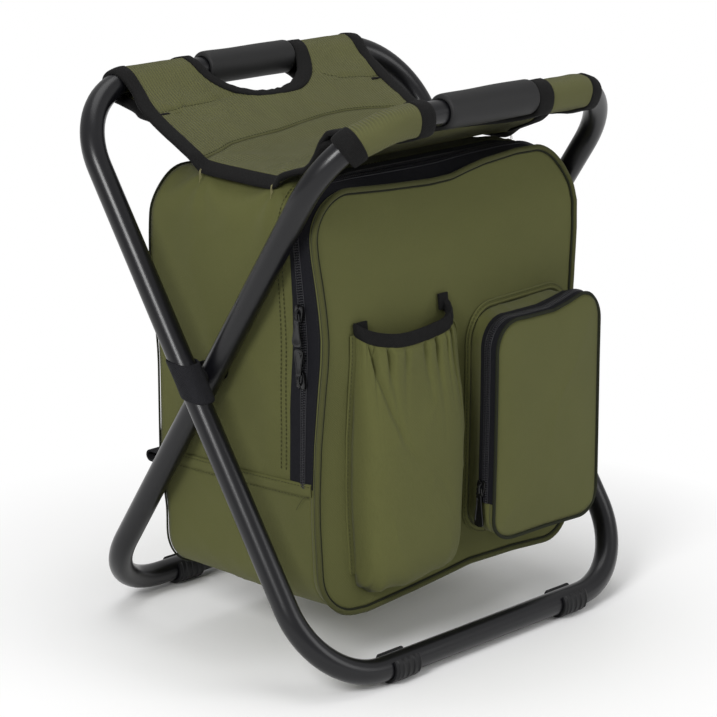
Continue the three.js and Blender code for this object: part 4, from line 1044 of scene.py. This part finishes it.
ENDS = {
    "rear": dict(facing=1, span=OUTER, body="outer_frame", bar="outer_loop_tube",
                 slot=(-0.6, 1.0), half=55.3, lips=(7.0, 4.0, 11.0), hem={-1: 131.0, 1: 130.0},
                 at_bag=(0, 0.065, 0.4), at_bar=(0, 0.108, 0.4), flat=(0.272, 0.175), area=0.0386,
                 nodes=["rear_sleeve_left", "rear_sleeve_right"], hem_nodes=[]),
    "front": dict(facing=-1, span=INNER, body="inner_frame", bar="inner_loop_tube",
                  slot=(-12.6, -12.6), half=59.0, lips=(13.0, 8.0, 14.0), hem={-1: 145.5, 1: 116.5},
                  at_bag=(0, -0.002, 0.4), at_bar=(0, -0.1, 0.4), flat=(0.262, 0.282), area=0.064,
                  nodes=["front_sleeve_left", "front_sleeve_right", "seat_panel"],
                  hem_nodes=["seat_binding_left", "seat_binding_right"]),
}
HEM_MIDDLE = {-1: 134.0, 1: 129.0}
HEM_LIP = 11.0
COLUMNS = np.linspace(0, 1, 38) ** 1.3
ROWS_UP, ROWS_SLOT = 20, 17


TOP_LINE, UNDER_LINE = spline(SHEET_TOP, 160), spline(SHEET_UNDER, 80)
ROUND_LINE = spline(SHEET_ROUND, 15)[1:-1]
SWELL = 7.5 * np.sin(np.linspace(0, math.pi, 15))[1:-1]


def top_height(y):
    """The height of the sling's upper layer."""
    return np.interp(np.abs(y), TOP_LINE[:, 0], TOP_LINE[:, 1])


def under_height(y):
    """The height of the sling's lower layer."""
    return np.interp(y, UNDER_LINE[:, 0], UNDER_LINE[:, 1])


def swell(end, sign):
    """How much farther out one end of the rear hand slot reaches round the bar."""
    return SWELL * sign if sign < 0 and end == "rear" else 0 * SWELL


def sheet_point(end, u, y, z, world_y=None):
    """A sling point: u along the bar, y and z in section. Near the bar it follows the bar's bend."""
    e = ENDS[end]
    if world_y is None:
        world_y = e["facing"] * np.asarray(y, float)
    u, y, z, world_y = np.broadcast_arrays(*(np.asarray(a, float) for a in (u, y, z, world_y)))
    straight = e["span"] / 2 - BEND
    w = ease((y - 99) / 27)
    turn = np.maximum(0, np.abs(u) - straight) / BEND
    c, s = math.cos(TILT), math.sin(TILT)
    across = y * c - (z - PIVOT) * s
    rise = y * s + (z - PIVOT) * c - UPPER + (3.2 if end == "front" else 0) * ease((-u - 120) / 20)
    bent_x = np.sign(u) * (np.minimum(np.abs(u), straight) + (BEND + rise) * np.sin(turn))
    bent = UPPER - BEND + (BEND + rise) * np.cos(turn)
    # Between the tacks the hems hang over the bag's sides
    between = ease((world_y - TACKS[1] + 12) / 12) * ease((TACKS[0] + 12 - world_y) / 12)
    over = np.maximum(0, np.abs(u) - 123)
    drop = np.interp(world_y, *HEM_LIFT) * ease((np.abs(u) - 95) / 30) * np.where(u > 0, 0.5, 1)
    drop = drop - 0.55 * between * over
    soft_x = np.sign(u) * (np.abs(u) - 0.26 * between * over)
    px = (1 - w) * soft_x + w * bent_x
    py = (1 - w) * y + w * (across * c + bent * s)
    pz = (1 - w) * (z + drop) + w * (bent * c - across * s + PIVOT)
    return np.stack([px, np.where(world_y < 0, -py, py), pz], -1)


def on_bag(u, y):
    """A point of the sling's middle, y from the front to the rear."""
    return sheet_point("front", u, np.abs(y), top_height(y), y)


def hem_at(end, sign, y):
    """The cloth's edge, measured along the bar."""
    start, run = (95, 38) if sign < 0 else (60, 60)
    return HEM_MIDDLE[sign] + (ENDS[end]["hem"][sign] - HEM_MIDDLE[sign]) * ease((np.abs(y) - start) / run)


def slot_at(end, sign, theta, d=0.0):
    """A point on the hand slot's edge, or d inside the cloth: its place along the bar, and y."""
    e = ENDS[end]
    side, bottom = e["lips"][0 if sign < 0 else 2], e["lips"][1]
    grow = d * (bottom + (side - bottom) * np.sin(theta)) if d > 0 else d
    middle = e["slot"][0] + (e["slot"][1] - e["slot"][0]) * np.sin(theta)
    return middle + sign * (e["half"] + grow) * np.sin(theta), SLOT_Y - (SLOT_RY + grow) * np.cos(theta)


def end_rows(end, sign):
    """Rows from the slot's foot over the bar and back to the seam: y, z, the slot's edge and the layer."""
    theta = np.linspace(0, math.pi / 2, ROWS_SLOT)
    edge, y = slot_at(end, sign, theta)
    rows = [(b, top_height(b), a, 1) for a, b in zip(edge, y)]
    rows += [(b, z, a, 0) for (b, z), a in zip(ROUND_LINE, edge[-1] + swell(end, sign))]
    rows += [(b, under_height(b), a, -1) for a, b in zip(edge[::-1], y[::-1])]
    rows += [(b, under_height(b), edge[0], -1) for b in np.linspace(SLOT_Y - SLOT_RY, 90, 5)[1:]]
    return rows


def first_line(end, u):
    """Where the sling leaves the bag."""
    return np.interp(u, *QUILT) if end == "rear" else np.full_like(np.asarray(u, float), FRONT_LINE)


def end_half(end, sign):
    """One half of the sling's end as a grid, and how free each point is to pucker."""
    points, free = [], []
    middle = ENDS[end]["slot"][0]
    for k in range(ROWS_UP):
        u = sign * hem_at(end, sign, 60) * (1 - COLUMNS) + COLUMNS * middle
        start = first_line(end, u)
        y = start + (SLOT_Y - SLOT_RY - start) * k / ROWS_UP
        hem = hem_at(end, sign, y)
        u = sign * hem * (1 - COLUMNS) + COLUMNS * middle
        points.append(sheet_point(end, u, y, top_height(y)))
        free.append(ease((hem - np.abs(u)) / 14))
    for y, z, edge, layer in end_rows(end, sign):
        hem = hem_at(end, sign, y)
        u = sign * hem * (1 - COLUMNS) + COLUMNS * edge
        points.append(sheet_point(end, u, y, z))
        free.append(ease((hem - np.abs(u)) / 14) * ease(np.abs(u - edge) / 14) * (0.5 + 0.5 * (layer > 0)))
    return np.array(points), np.array(free)


def sheet_normals(p, facing_up=None):
    """Normals of a grid of points, turned so that the one picked faces up."""
    n = unit(np.cross(np.gradient(p, axis=0), np.gradient(p, axis=1)))
    return -n if facing_up is not None and n[facing_up][2] < 0 else n


def seam_line(y, y0, width):
    """The groove along a seam."""
    return np.exp(-((y - y0) / width) ** 2)


def puckered(p, free, end):
    """Puckers between the seams, and grooves along them."""
    n = sheet_normals(p, (4, 8))
    y = np.abs(p[..., 1])
    rise = 0.5 * waves(p, 34, 71) + 0.9 * creases(p * [1, 0.55, 1], 48, 72)
    rise = rise + 0.55 * creases(p * [1, 0.35, 1], 19, 75) * ease((y - 60) / 40)
    upper = (np.arange(len(p)) < ROWS_UP + ROWS_SLOT)[:, None]
    groove = 0.8 * seam_line(y, np.interp(p[..., 0], *SLEEVE_SEAM), 1.9) * upper * free
    quilt = first_line(end, p[..., 0])
    fold = 0.75 * seam_line(y, quilt + 1.0, 2.6) * upper
    tight = 1 - 0.8 * ease((y - 104) / 18)
    return p + n * (0.95 * rise * free * tight * ease((y - quilt) / 5) - groove - fold)[..., None]


def middle_sheet():
    """The sling between its two quilting lines, lying on the bag."""
    middle = ENDS["front"]["slot"][0]
    u = np.concatenate([-hem_at("front", -1, 0) * (1 - COLUMNS) + COLUMNS * middle,
                        (hem_at("front", 1, 0) * (1 - COLUMNS) + COLUMNS * middle)[::-1][1:]])
    start = np.interp(u, *QUILT)
    rows = []
    for k in range(40):
        y = start + (-FRONT_LINE - start) * k / 39
        rows.append(on_bag(u, y))
    p = np.array(rows)
    free = ease((127 - np.abs(p[..., 0])) / 16)
    n = sheet_normals(p, (20, 30))
    rise = 0.4 * waves(p, 40, 73) + 1.0 * creases(p * [1, 0.5, 1], 46, 74)
    # A fold that runs inwards from the front left tack, and drawn cloth at the other three
    a, b = np.array([-113.0, -35.0]), np.array([-58.0, 0.0])
    along = np.clip(((p[..., :2] - a) @ (b - a)) / np.dot(b - a, b - a), 0, 1)
    off = np.linalg.norm(p[..., :2] - a - along[..., None] * (b - a), axis=-1)
    rise = rise + 2.2 * np.exp(-(off / 4.2) ** 2) * (1 - along) * ease(along / 0.1)
    for x, y, heading in ((-121, 36, -0.45), (117, 36, -2.7), (115, -37, 2.8)):
        r = np.hypot(p[..., 0] - x, p[..., 1] - y)
        turn = np.arctan2(p[..., 1] - y, p[..., 0] - x) - heading
        rise = rise + 1.8 * np.exp(-(np.sin(turn / 2) * r / 3.4) ** 2) * np.exp(-r / 30) * ease(r / 9)
    fold = 1.4 * (seam_line(p[..., 1], start - 1.0, 2.6) + seam_line(p[..., 1], -FRONT_LINE, 2.4))
    lay = ease((start - p[..., 1]) / 5) * ease((p[..., 1] + FRONT_LINE) / 5)
    return p + n * (rise * free * lay - fold)[..., None]


def solid(part):
    """A closed form turned so that its faces look outwards."""
    v, f = part
    v = np.asarray(v, float).reshape(-1, 3)
    volume = 0.0
    for face in f:
        a = v[face[0]]
        for i, j in zip(face[1:-1], face[2:]):
            volume += np.dot(a, np.cross(v[i], v[j]))
    return turned((v, f), volume > 0)


def folded_tape(lines, closed=False):
    """Binding folded over an edge; the lines run along it, from outside the edge to the tape's inner side."""
    p = np.array(lines).transpose(1, 0, 2)
    n = sheet_normals(p)
    rise = np.array([0.0, 1.7, 2.2, 2.3, 2.2, 1.3])[None, :, None]
    rings = np.concatenate([p + n * rise, (p - n * rise)[:, :0:-1]], axis=1)
    return solid(tube(rings, closed))


SHARES = (-2.2, -1.4, 0.12, 0.5, 0.93, 1.0)


def slot_binding(end):
    """The binding round a hand slot, over the bar and back below it."""
    theta = np.linspace(0, math.pi / 2, 28)
    lines = []
    for share in SHARES:
        sides = []
        for sign in (-1, 1):
            u, y = slot_at(end, sign, theta, share)
            if share < 0:
                y = y - 0.55 * np.cos(theta) ** 2 * np.sin(u * 0.62 + 1.6 * np.sin(u * 0.17))
            over = sheet_point(end, u, y, top_height(y))
            about = sheet_point(end, u[-1] + swell(end, sign), ROUND_LINE[:, 0], ROUND_LINE[:, 1])
            below = sheet_point(end, u, y, under_height(y))[::-1]
            sides.append(np.vstack([over, about, below]))
        lines.append(np.vstack([sides[0], sides[1][::-1][1:-1]]))
    return folded_tape(lines, closed=True)


def hem_binding(end, sign):
    """The binding along one side edge of the sling; on the lower layer its inner edge runs wider, a dark
    strip painted as the shade below the sleeve.
    """
    rear_start = float(np.interp(sign * HEM_MIDDLE[sign], *QUILT))
    lines = []
    for share in SHARES:
        d = share * HEM_LIP if share > 0 else share
        points = []

        def add(y, z, world_y=None, wide=1.0):
            """One point of the line."""
            hem = hem_at(end, sign, y) - (d * wide if d > 0 else d)
            points.append(sheet_point(end, sign * hem, abs(y), z, world_y))

        if end == "front":
            for y in np.linspace(rear_start, -FRONT_LINE, 56)[:-1]:
                add(y, top_height(y), y)
        start = FRONT_LINE if end == "front" else rear_start
        for y in np.linspace(start, SLOT_Y - SLOT_RY, 26)[:-1]:
            add(y, top_height(y))
        # On the lower layer the black binding widens inwards towards the bag: real binding, with the extra
        # width painted as the shade under the sleeve
        for y, z, _, layer in end_rows(end, sign):
            add(y, z, wide=1.0 if layer >= 0 else 1 + 0.9 * float(ease((130 - y) / 16)))
        lines.append(np.array(points))
    return folded_tape(lines)


def seam_stitches(p):
    """Stitches along the sleeve's seam, on the puckered cloth."""
    n = sheet_normals(p, (4, 8))
    rows = ROWS_UP + ROWS_SLOT - 1
    line, up = [], []
    for j in range(2, p.shape[1]):
        ys = np.abs(p[:rows, j, 1])
        r = 30.0
        for _ in range(6):
            i = int(min(max(r, 0), rows - 2))
            x = p[i, j, 0] + (p[i + 1, j, 0] - p[i, j, 0]) * (r - i)
            r = float(np.interp(np.interp(x, *SLEEVE_SEAM), ys, np.arange(rows)))
        i = int(min(r, rows - 2))
        point = p[i, j] + (p[i + 1, j] - p[i, j]) * (r - i)
        if abs(point[0]) > 62:
            line.append(point + n[i, j] * 1.15)
            up.append(n[i, j])
    return stitching(np.array(line), np.array(up))


def build_seat(end):
    """One end of the sling with its bindings and stitches; the front end has the sling's middle too."""
    e = ENDS[end]
    parts, seams = [], []
    for sign in (-1, 1):
        half, free = end_half(end, sign)
        half = puckered(half, free, end)
        parts.append(turned(grid(half), sign * e["facing"] > 0))
        seams.append(seam_stitches(half))
        if end == "rear":
            n = sheet_normals(half, (4, 8))
            seams.append(stitching(half[1] + n[1] * 1.3, (0, 0, 1)))
    if end == "front":
        middle = middle_sheet()
        parts.append(grid(middle))
        seams.append(stitching(middle[-2] + [0, 0, 1.2], (0, 0, 1)))
    blend = ("bag", e["body"], e["at_bag"], e["at_bar"])
    seat = piece(f"seat_{end}", merge(parts), sling, e["nodes"], blend=blend, thick=2.0, offset=0,
                 welded=True)
    slot = piece(f"slot_binding_{end}", slot_binding(end), binding, blend=blend, sharp=70)
    hem = piece(f"hem_binding_{end}", merge([hem_binding(end, -1), hem_binding(end, 1)]), binding,
                e["hem_nodes"], blend=blend, sharp=70)
    stitches = piece(f"seat_stitches_{end}", merge(seams), thread, blend=blend)


def build_tacks():
    """Thread tacks that hold the sling's hems to the bag's top."""
    parts = []
    for sign in (-1, 1):
        for y in TACKS:
            for k in range(3):
                hem = HEM_MIDDLE[sign]
                places = [(hem - 10, y + 1.6 + 0.9 * k), (hem - 3, y + 0.5 + 0.7 * k),
                          (hem + 3.2, y - 1.0 + 0.6 * k)]
                line = [on_bag(sign * u, v) + [sign * 0.5, 0, 1.6] for u, v in places]
                line.append(line[-1] + [sign * 0.4, -1.2 + 0.4 * k, -4.5 - 1.0 * (k % 2)])
                parts.append(rope(spline(line, 12), 0.17, sides=6))
            tail = [line[-1], line[-1] + [sign * 0.6, -0.8, -2.0], line[-1] + [sign * 0.9, -0.4, -4.0]]
            parts.append(rope(spline(tail, 7), 0.15, sides=6))
    piece("seat_tacks", merge(parts), light_thread)


for end in ENDS:
    build_seat(end)
build_tacks()


# Straps

BACK = np.array([0, 1.0, 0])
STRAP_HEAD, STRAP_FOOT, STRAP_ANCHOR = (42.0, 340.0), (86.0, 178.0), (122.0, 128.0)
PAD_SECTION = np.array([(-27.5, 0.1), (-27.9, 0.3), (-26, 0.55), (-20, 0.86), (-10, 1.0), (0, 1.03),
                        (10, 1.0), (20, 0.86), (26, 0.55), (27.9, 0.3), (27.5, 0.0), (0, 0.0)])
LOCK_BARS = ((-17, -13, 4, 30), (13, 17, 4, 30), (-17, 17, 4, 8), (-17, 17, 15, 19), (-17, 17, 26, 30))
WEB_LINE = ((-4, 3.0), (4, 3.4), (9, 6.0), (14, 6.2), (20, 3.0), (26, 6.4), (34, 8.6), (44, 9.0))
WEB_SECTION = [(-12.5, 0), (-12.5, 1.3), (-11.9, 1.6), (11.9, 1.6), (12.5, 1.3), (12.5, 0)]
PATCH_SECTION = ((-14, 0), (-14, 1.6), (0, 2.4), (14, 1.6), (14, 0))


def bezier(points, count):
    """A cubic curve on four points."""
    a, b, c, d = points
    t = np.linspace(0, 1, count)[:, None]
    return (1 - t) ** 3 * a + 3 * (1 - t) ** 2 * t * b + 3 * (1 - t) * t ** 2 * c + t ** 3 * d


def build_strap_pad(side, sign):
    """The padded part of a shoulder strap, with its edging and stitches."""
    head, foot, anchor = [np.array(place) * [sign, 1] for place in (STRAP_HEAD, STRAP_FOOT, STRAP_ANCHOR)]
    count = 46
    line = bezier((head, head - [0, 72], foot - unit(anchor - foot) * 72, foot), count)
    path = warp(np.stack([line[:, 0], np.full(count, REAR + 0.6), line[:, 1]], 1))
    across = unit(np.cross(tangents(path), BACK))
    from_end = np.minimum(np.arange(count), count - 1 - np.arange(count))
    crown = 9.0 * ease(from_end / 4.0 + 0.35)
    rings = (path[:, None] + across[:, None] * PAD_SECTION[None, :, :1]
             + BACK * PAD_SECTION[None, :, 1:] * crown[:, None, None])
    pad = piece(f"strap_pad_{side}", tube(rings), cloth, [f"shoulder_strap_{side}"], sub=1)
    trims = [rope(path + across * (s * 27.6) + BACK * 2.4, 1.9) for s in (-1, 1)]
    piece(f"strap_trim_{side}", merge(trims), binding)
    runs = [stitching(path + across * (s * 23.0) + BACK * 8.2, (0, 1, 0)) for s in (-1, 1)]
    piece(f"strap_stitches_{side}", merge(runs), thread)


def build_strap_end(side, sign):
    """The ladder lock below a pad, the webbing threaded through it and the patch that holds the webbing."""
    start, tip = [warp(np.array([sign * x, REAR, z])) for x, z in (STRAP_FOOT, STRAP_ANCHOR)]
    way, total = unit(tip - start), np.linalg.norm(tip - start)
    across = unit(np.cross(way, BACK))

    def along(s, lift):
        """A point s past the pad, lifted off the bag."""
        return start + way * s + BACK * lift

    bars = []
    for x0, x1, s0, s1 in LOCK_BARS:
        section = [(x0, 0.6), (x0, 4.2), (x0 + 0.5, 4.8), (x1 - 0.5, 4.8), (x1, 4.2), (x1, 0.6)]
        path = np.array([along(s, 0.6) for s in (s0, s0 + 0.4, s1 - 0.4, s1)])
        bars.append(sweep(path, across, BACK, section))
    piece(f"strap_lock_{side}", merge(bars), plastic, [f"ladder_lock_{side}"],
          sharp=30)
    path = spline([along(s, lift) for s, lift in WEB_LINE + ((total - 4, 5.0), (total + 2, 1.6))], 40)
    piece(f"strap_web_{side}", sweep(path, across, BACK, WEB_SECTION), webbing, [f"strap_tail_{side}"],
          sharp=50)
    stations = ((total - 26, 0.4, 0.45), (total - 10, 1.0, 0.85), (total + 7, 0.8, 1.0))
    rings = np.array([[along(s, lift) + across * x * wide + BACK * y for x, y in PATCH_SECTION]
                      for s, lift, wide in stations])
    piece(f"strap_patch_{side}", tube(rings), cloth, [f"strap_anchor_{side}"], sharp=40)


def build_nub(side, sign):
    """The folded end of webbing that shows at the bag's lower rear corner."""
    arc = np.linspace(-math.pi / 2, math.pi / 2, 13)
    path = np.stack([np.full(17, sign * 131.0),
                     np.concatenate([[REAR - 14, REAR], REAR + 6 + 4.2 * np.cos(arc), [REAR, REAR - 14]]),
                     np.concatenate([[131.0, 131.0], 135 + 4.0 * np.sin(arc), [139.0, 139.0]])], 1)
    beside = (sign * 1.0, 0, 0)
    out = unit(np.cross(tangents(path), beside))
    strip = [(-9, -0.8), (9, -0.8), (9, 0.8), (-9, 0.8)]
    piece(f"strap_nub_{side}", solid(sweep(path, beside, out, strip)), webbing, sharp=50)


for side, sign in SIDES.items():
    build_strap_pad(side, sign)
    build_strap_end(side, sign)
    build_nub(side, sign)

# CAD pieces whose own shape stays
for side in SIDES:
    for part, mat in (("rivet", steel), ("washer", plastic), ("tie", webbing)):
        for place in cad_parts[f"pivot_{part}_{side}"].material_slots:
            place.material = mat


# Floor, light and camera

WHITE = (1, 1, 1, 1)
FLOOR = (0.97, 0.97, 0.97, 1)
FADE_START, FADE_END = 0.22, 0.45
AMBIENT = 0.52
AIM = Vector((0, 0, 0.22))
LENS = 136.02
CAMERA_PLACE = (-1.47893, -1.44212, 0.77016)
CAMERA_RIGHT = (0.69836, -0.71574, 0.00248)
CAMERA_UP = (0.18756, 0.18634, 0.96442)
CAMERA_BACK = (-0.69073, -0.67305, 0.26438)


def build_floor():
    """A pale floor near the stool that fades to white for the camera and for reflections."""
    floor = Paint("studio_floor")
    near = floor.node("ShaderNodeBsdfDiffuse", {"Color": FLOOR}).outputs[0]
    white = floor.node("ShaderNodeEmission", {"Color": WHITE, "Strength": 1.0}).outputs[0]
    ray = floor.node("ShaderNodeLightPath").outputs
    seen = floor.math("MAXIMUM", ray["Is Camera Ray"], ray["Is Glossy Ray"])
    away = floor.vector("LENGTH", floor.place())["Value"]
    far = floor.node("ShaderNodeMapRange", {"Value": away, "From Min": FADE_START, "From Max": FADE_END})
    share = floor.times(far.outputs["Result"], seen)
    mixed = floor.node("ShaderNodeMixShader", {0: share, 1: near, 2: white}).outputs[0]
    floor.feed(floor.tree.nodes["Material Output"].inputs["Surface"], mixed)
    mesh = bpy.data.meshes.new("ground")
    mesh.from_pydata([(-6, -6, 0), (6, -6, 0), (6, 6, 0), (-6, 6, 0)], [], [(0, 1, 2, 3)])
    mesh.materials.append(floor.mat)
    link(bpy.data.objects.new("ground", mesh))


def build_world():
    """Even light from all round; the camera sees white."""
    world = bpy.data.worlds.new("studio")
    world.use_nodes = True
    bpy.context.scene.world = world
    world.node_tree.nodes.clear()
    studio = Nodes(world.node_tree)
    ray = studio.node("ShaderNodeLightPath").outputs["Is Camera Ray"]
    lit, seen = [studio.node("ShaderNodeBackground", {"Color": WHITE, "Strength": power}).outputs[0]
                 for power in (AMBIENT, 1.0)]
    mixed = studio.node("ShaderNodeMixShader", {0: ray, 1: lit, 2: seen}).outputs[0]
    studio.node("ShaderNodeOutputWorld", {"Surface": mixed})


def lamp(name, place, size, power):
    """A round lamp aimed at the stool."""
    data = bpy.data.lights.new(name, "AREA")
    data.shape, data.size, data.energy = "DISK", size, power
    ob = link(bpy.data.objects.new(name, data))
    ob.location = place
    ob.rotation_euler = (AIM - Vector(place)).to_track_quat("-Z", "Y").to_euler()


def build_camera():
    """The camera that sees the stool as the photo shows it."""
    cam = bpy.data.cameras.new("photo_camera")
    cam.lens, cam.sensor_width, cam.sensor_fit = LENS, 36, "HORIZONTAL"
    cam.clip_end = 50
    ob = link(bpy.data.objects.new("photo_camera", cam))
    turn = Matrix((CAMERA_RIGHT, CAMERA_UP, CAMERA_BACK)).transposed().to_4x4()
    ob.matrix_world = Matrix.Translation(CAMERA_PLACE) @ turn
    bpy.context.scene.camera = ob
    bpy.context.scene.view_settings.view_transform = "Standard"


build_floor()
build_world()
lamp("key", (-2.2, -0.8, 1.7), 1.0, 40)
lamp("fill", (0.9, -2.2, 1.2), 1.4, 13)
lamp("top", (0.2, 0.3, 2.4), 1.6, 12)
build_camera()
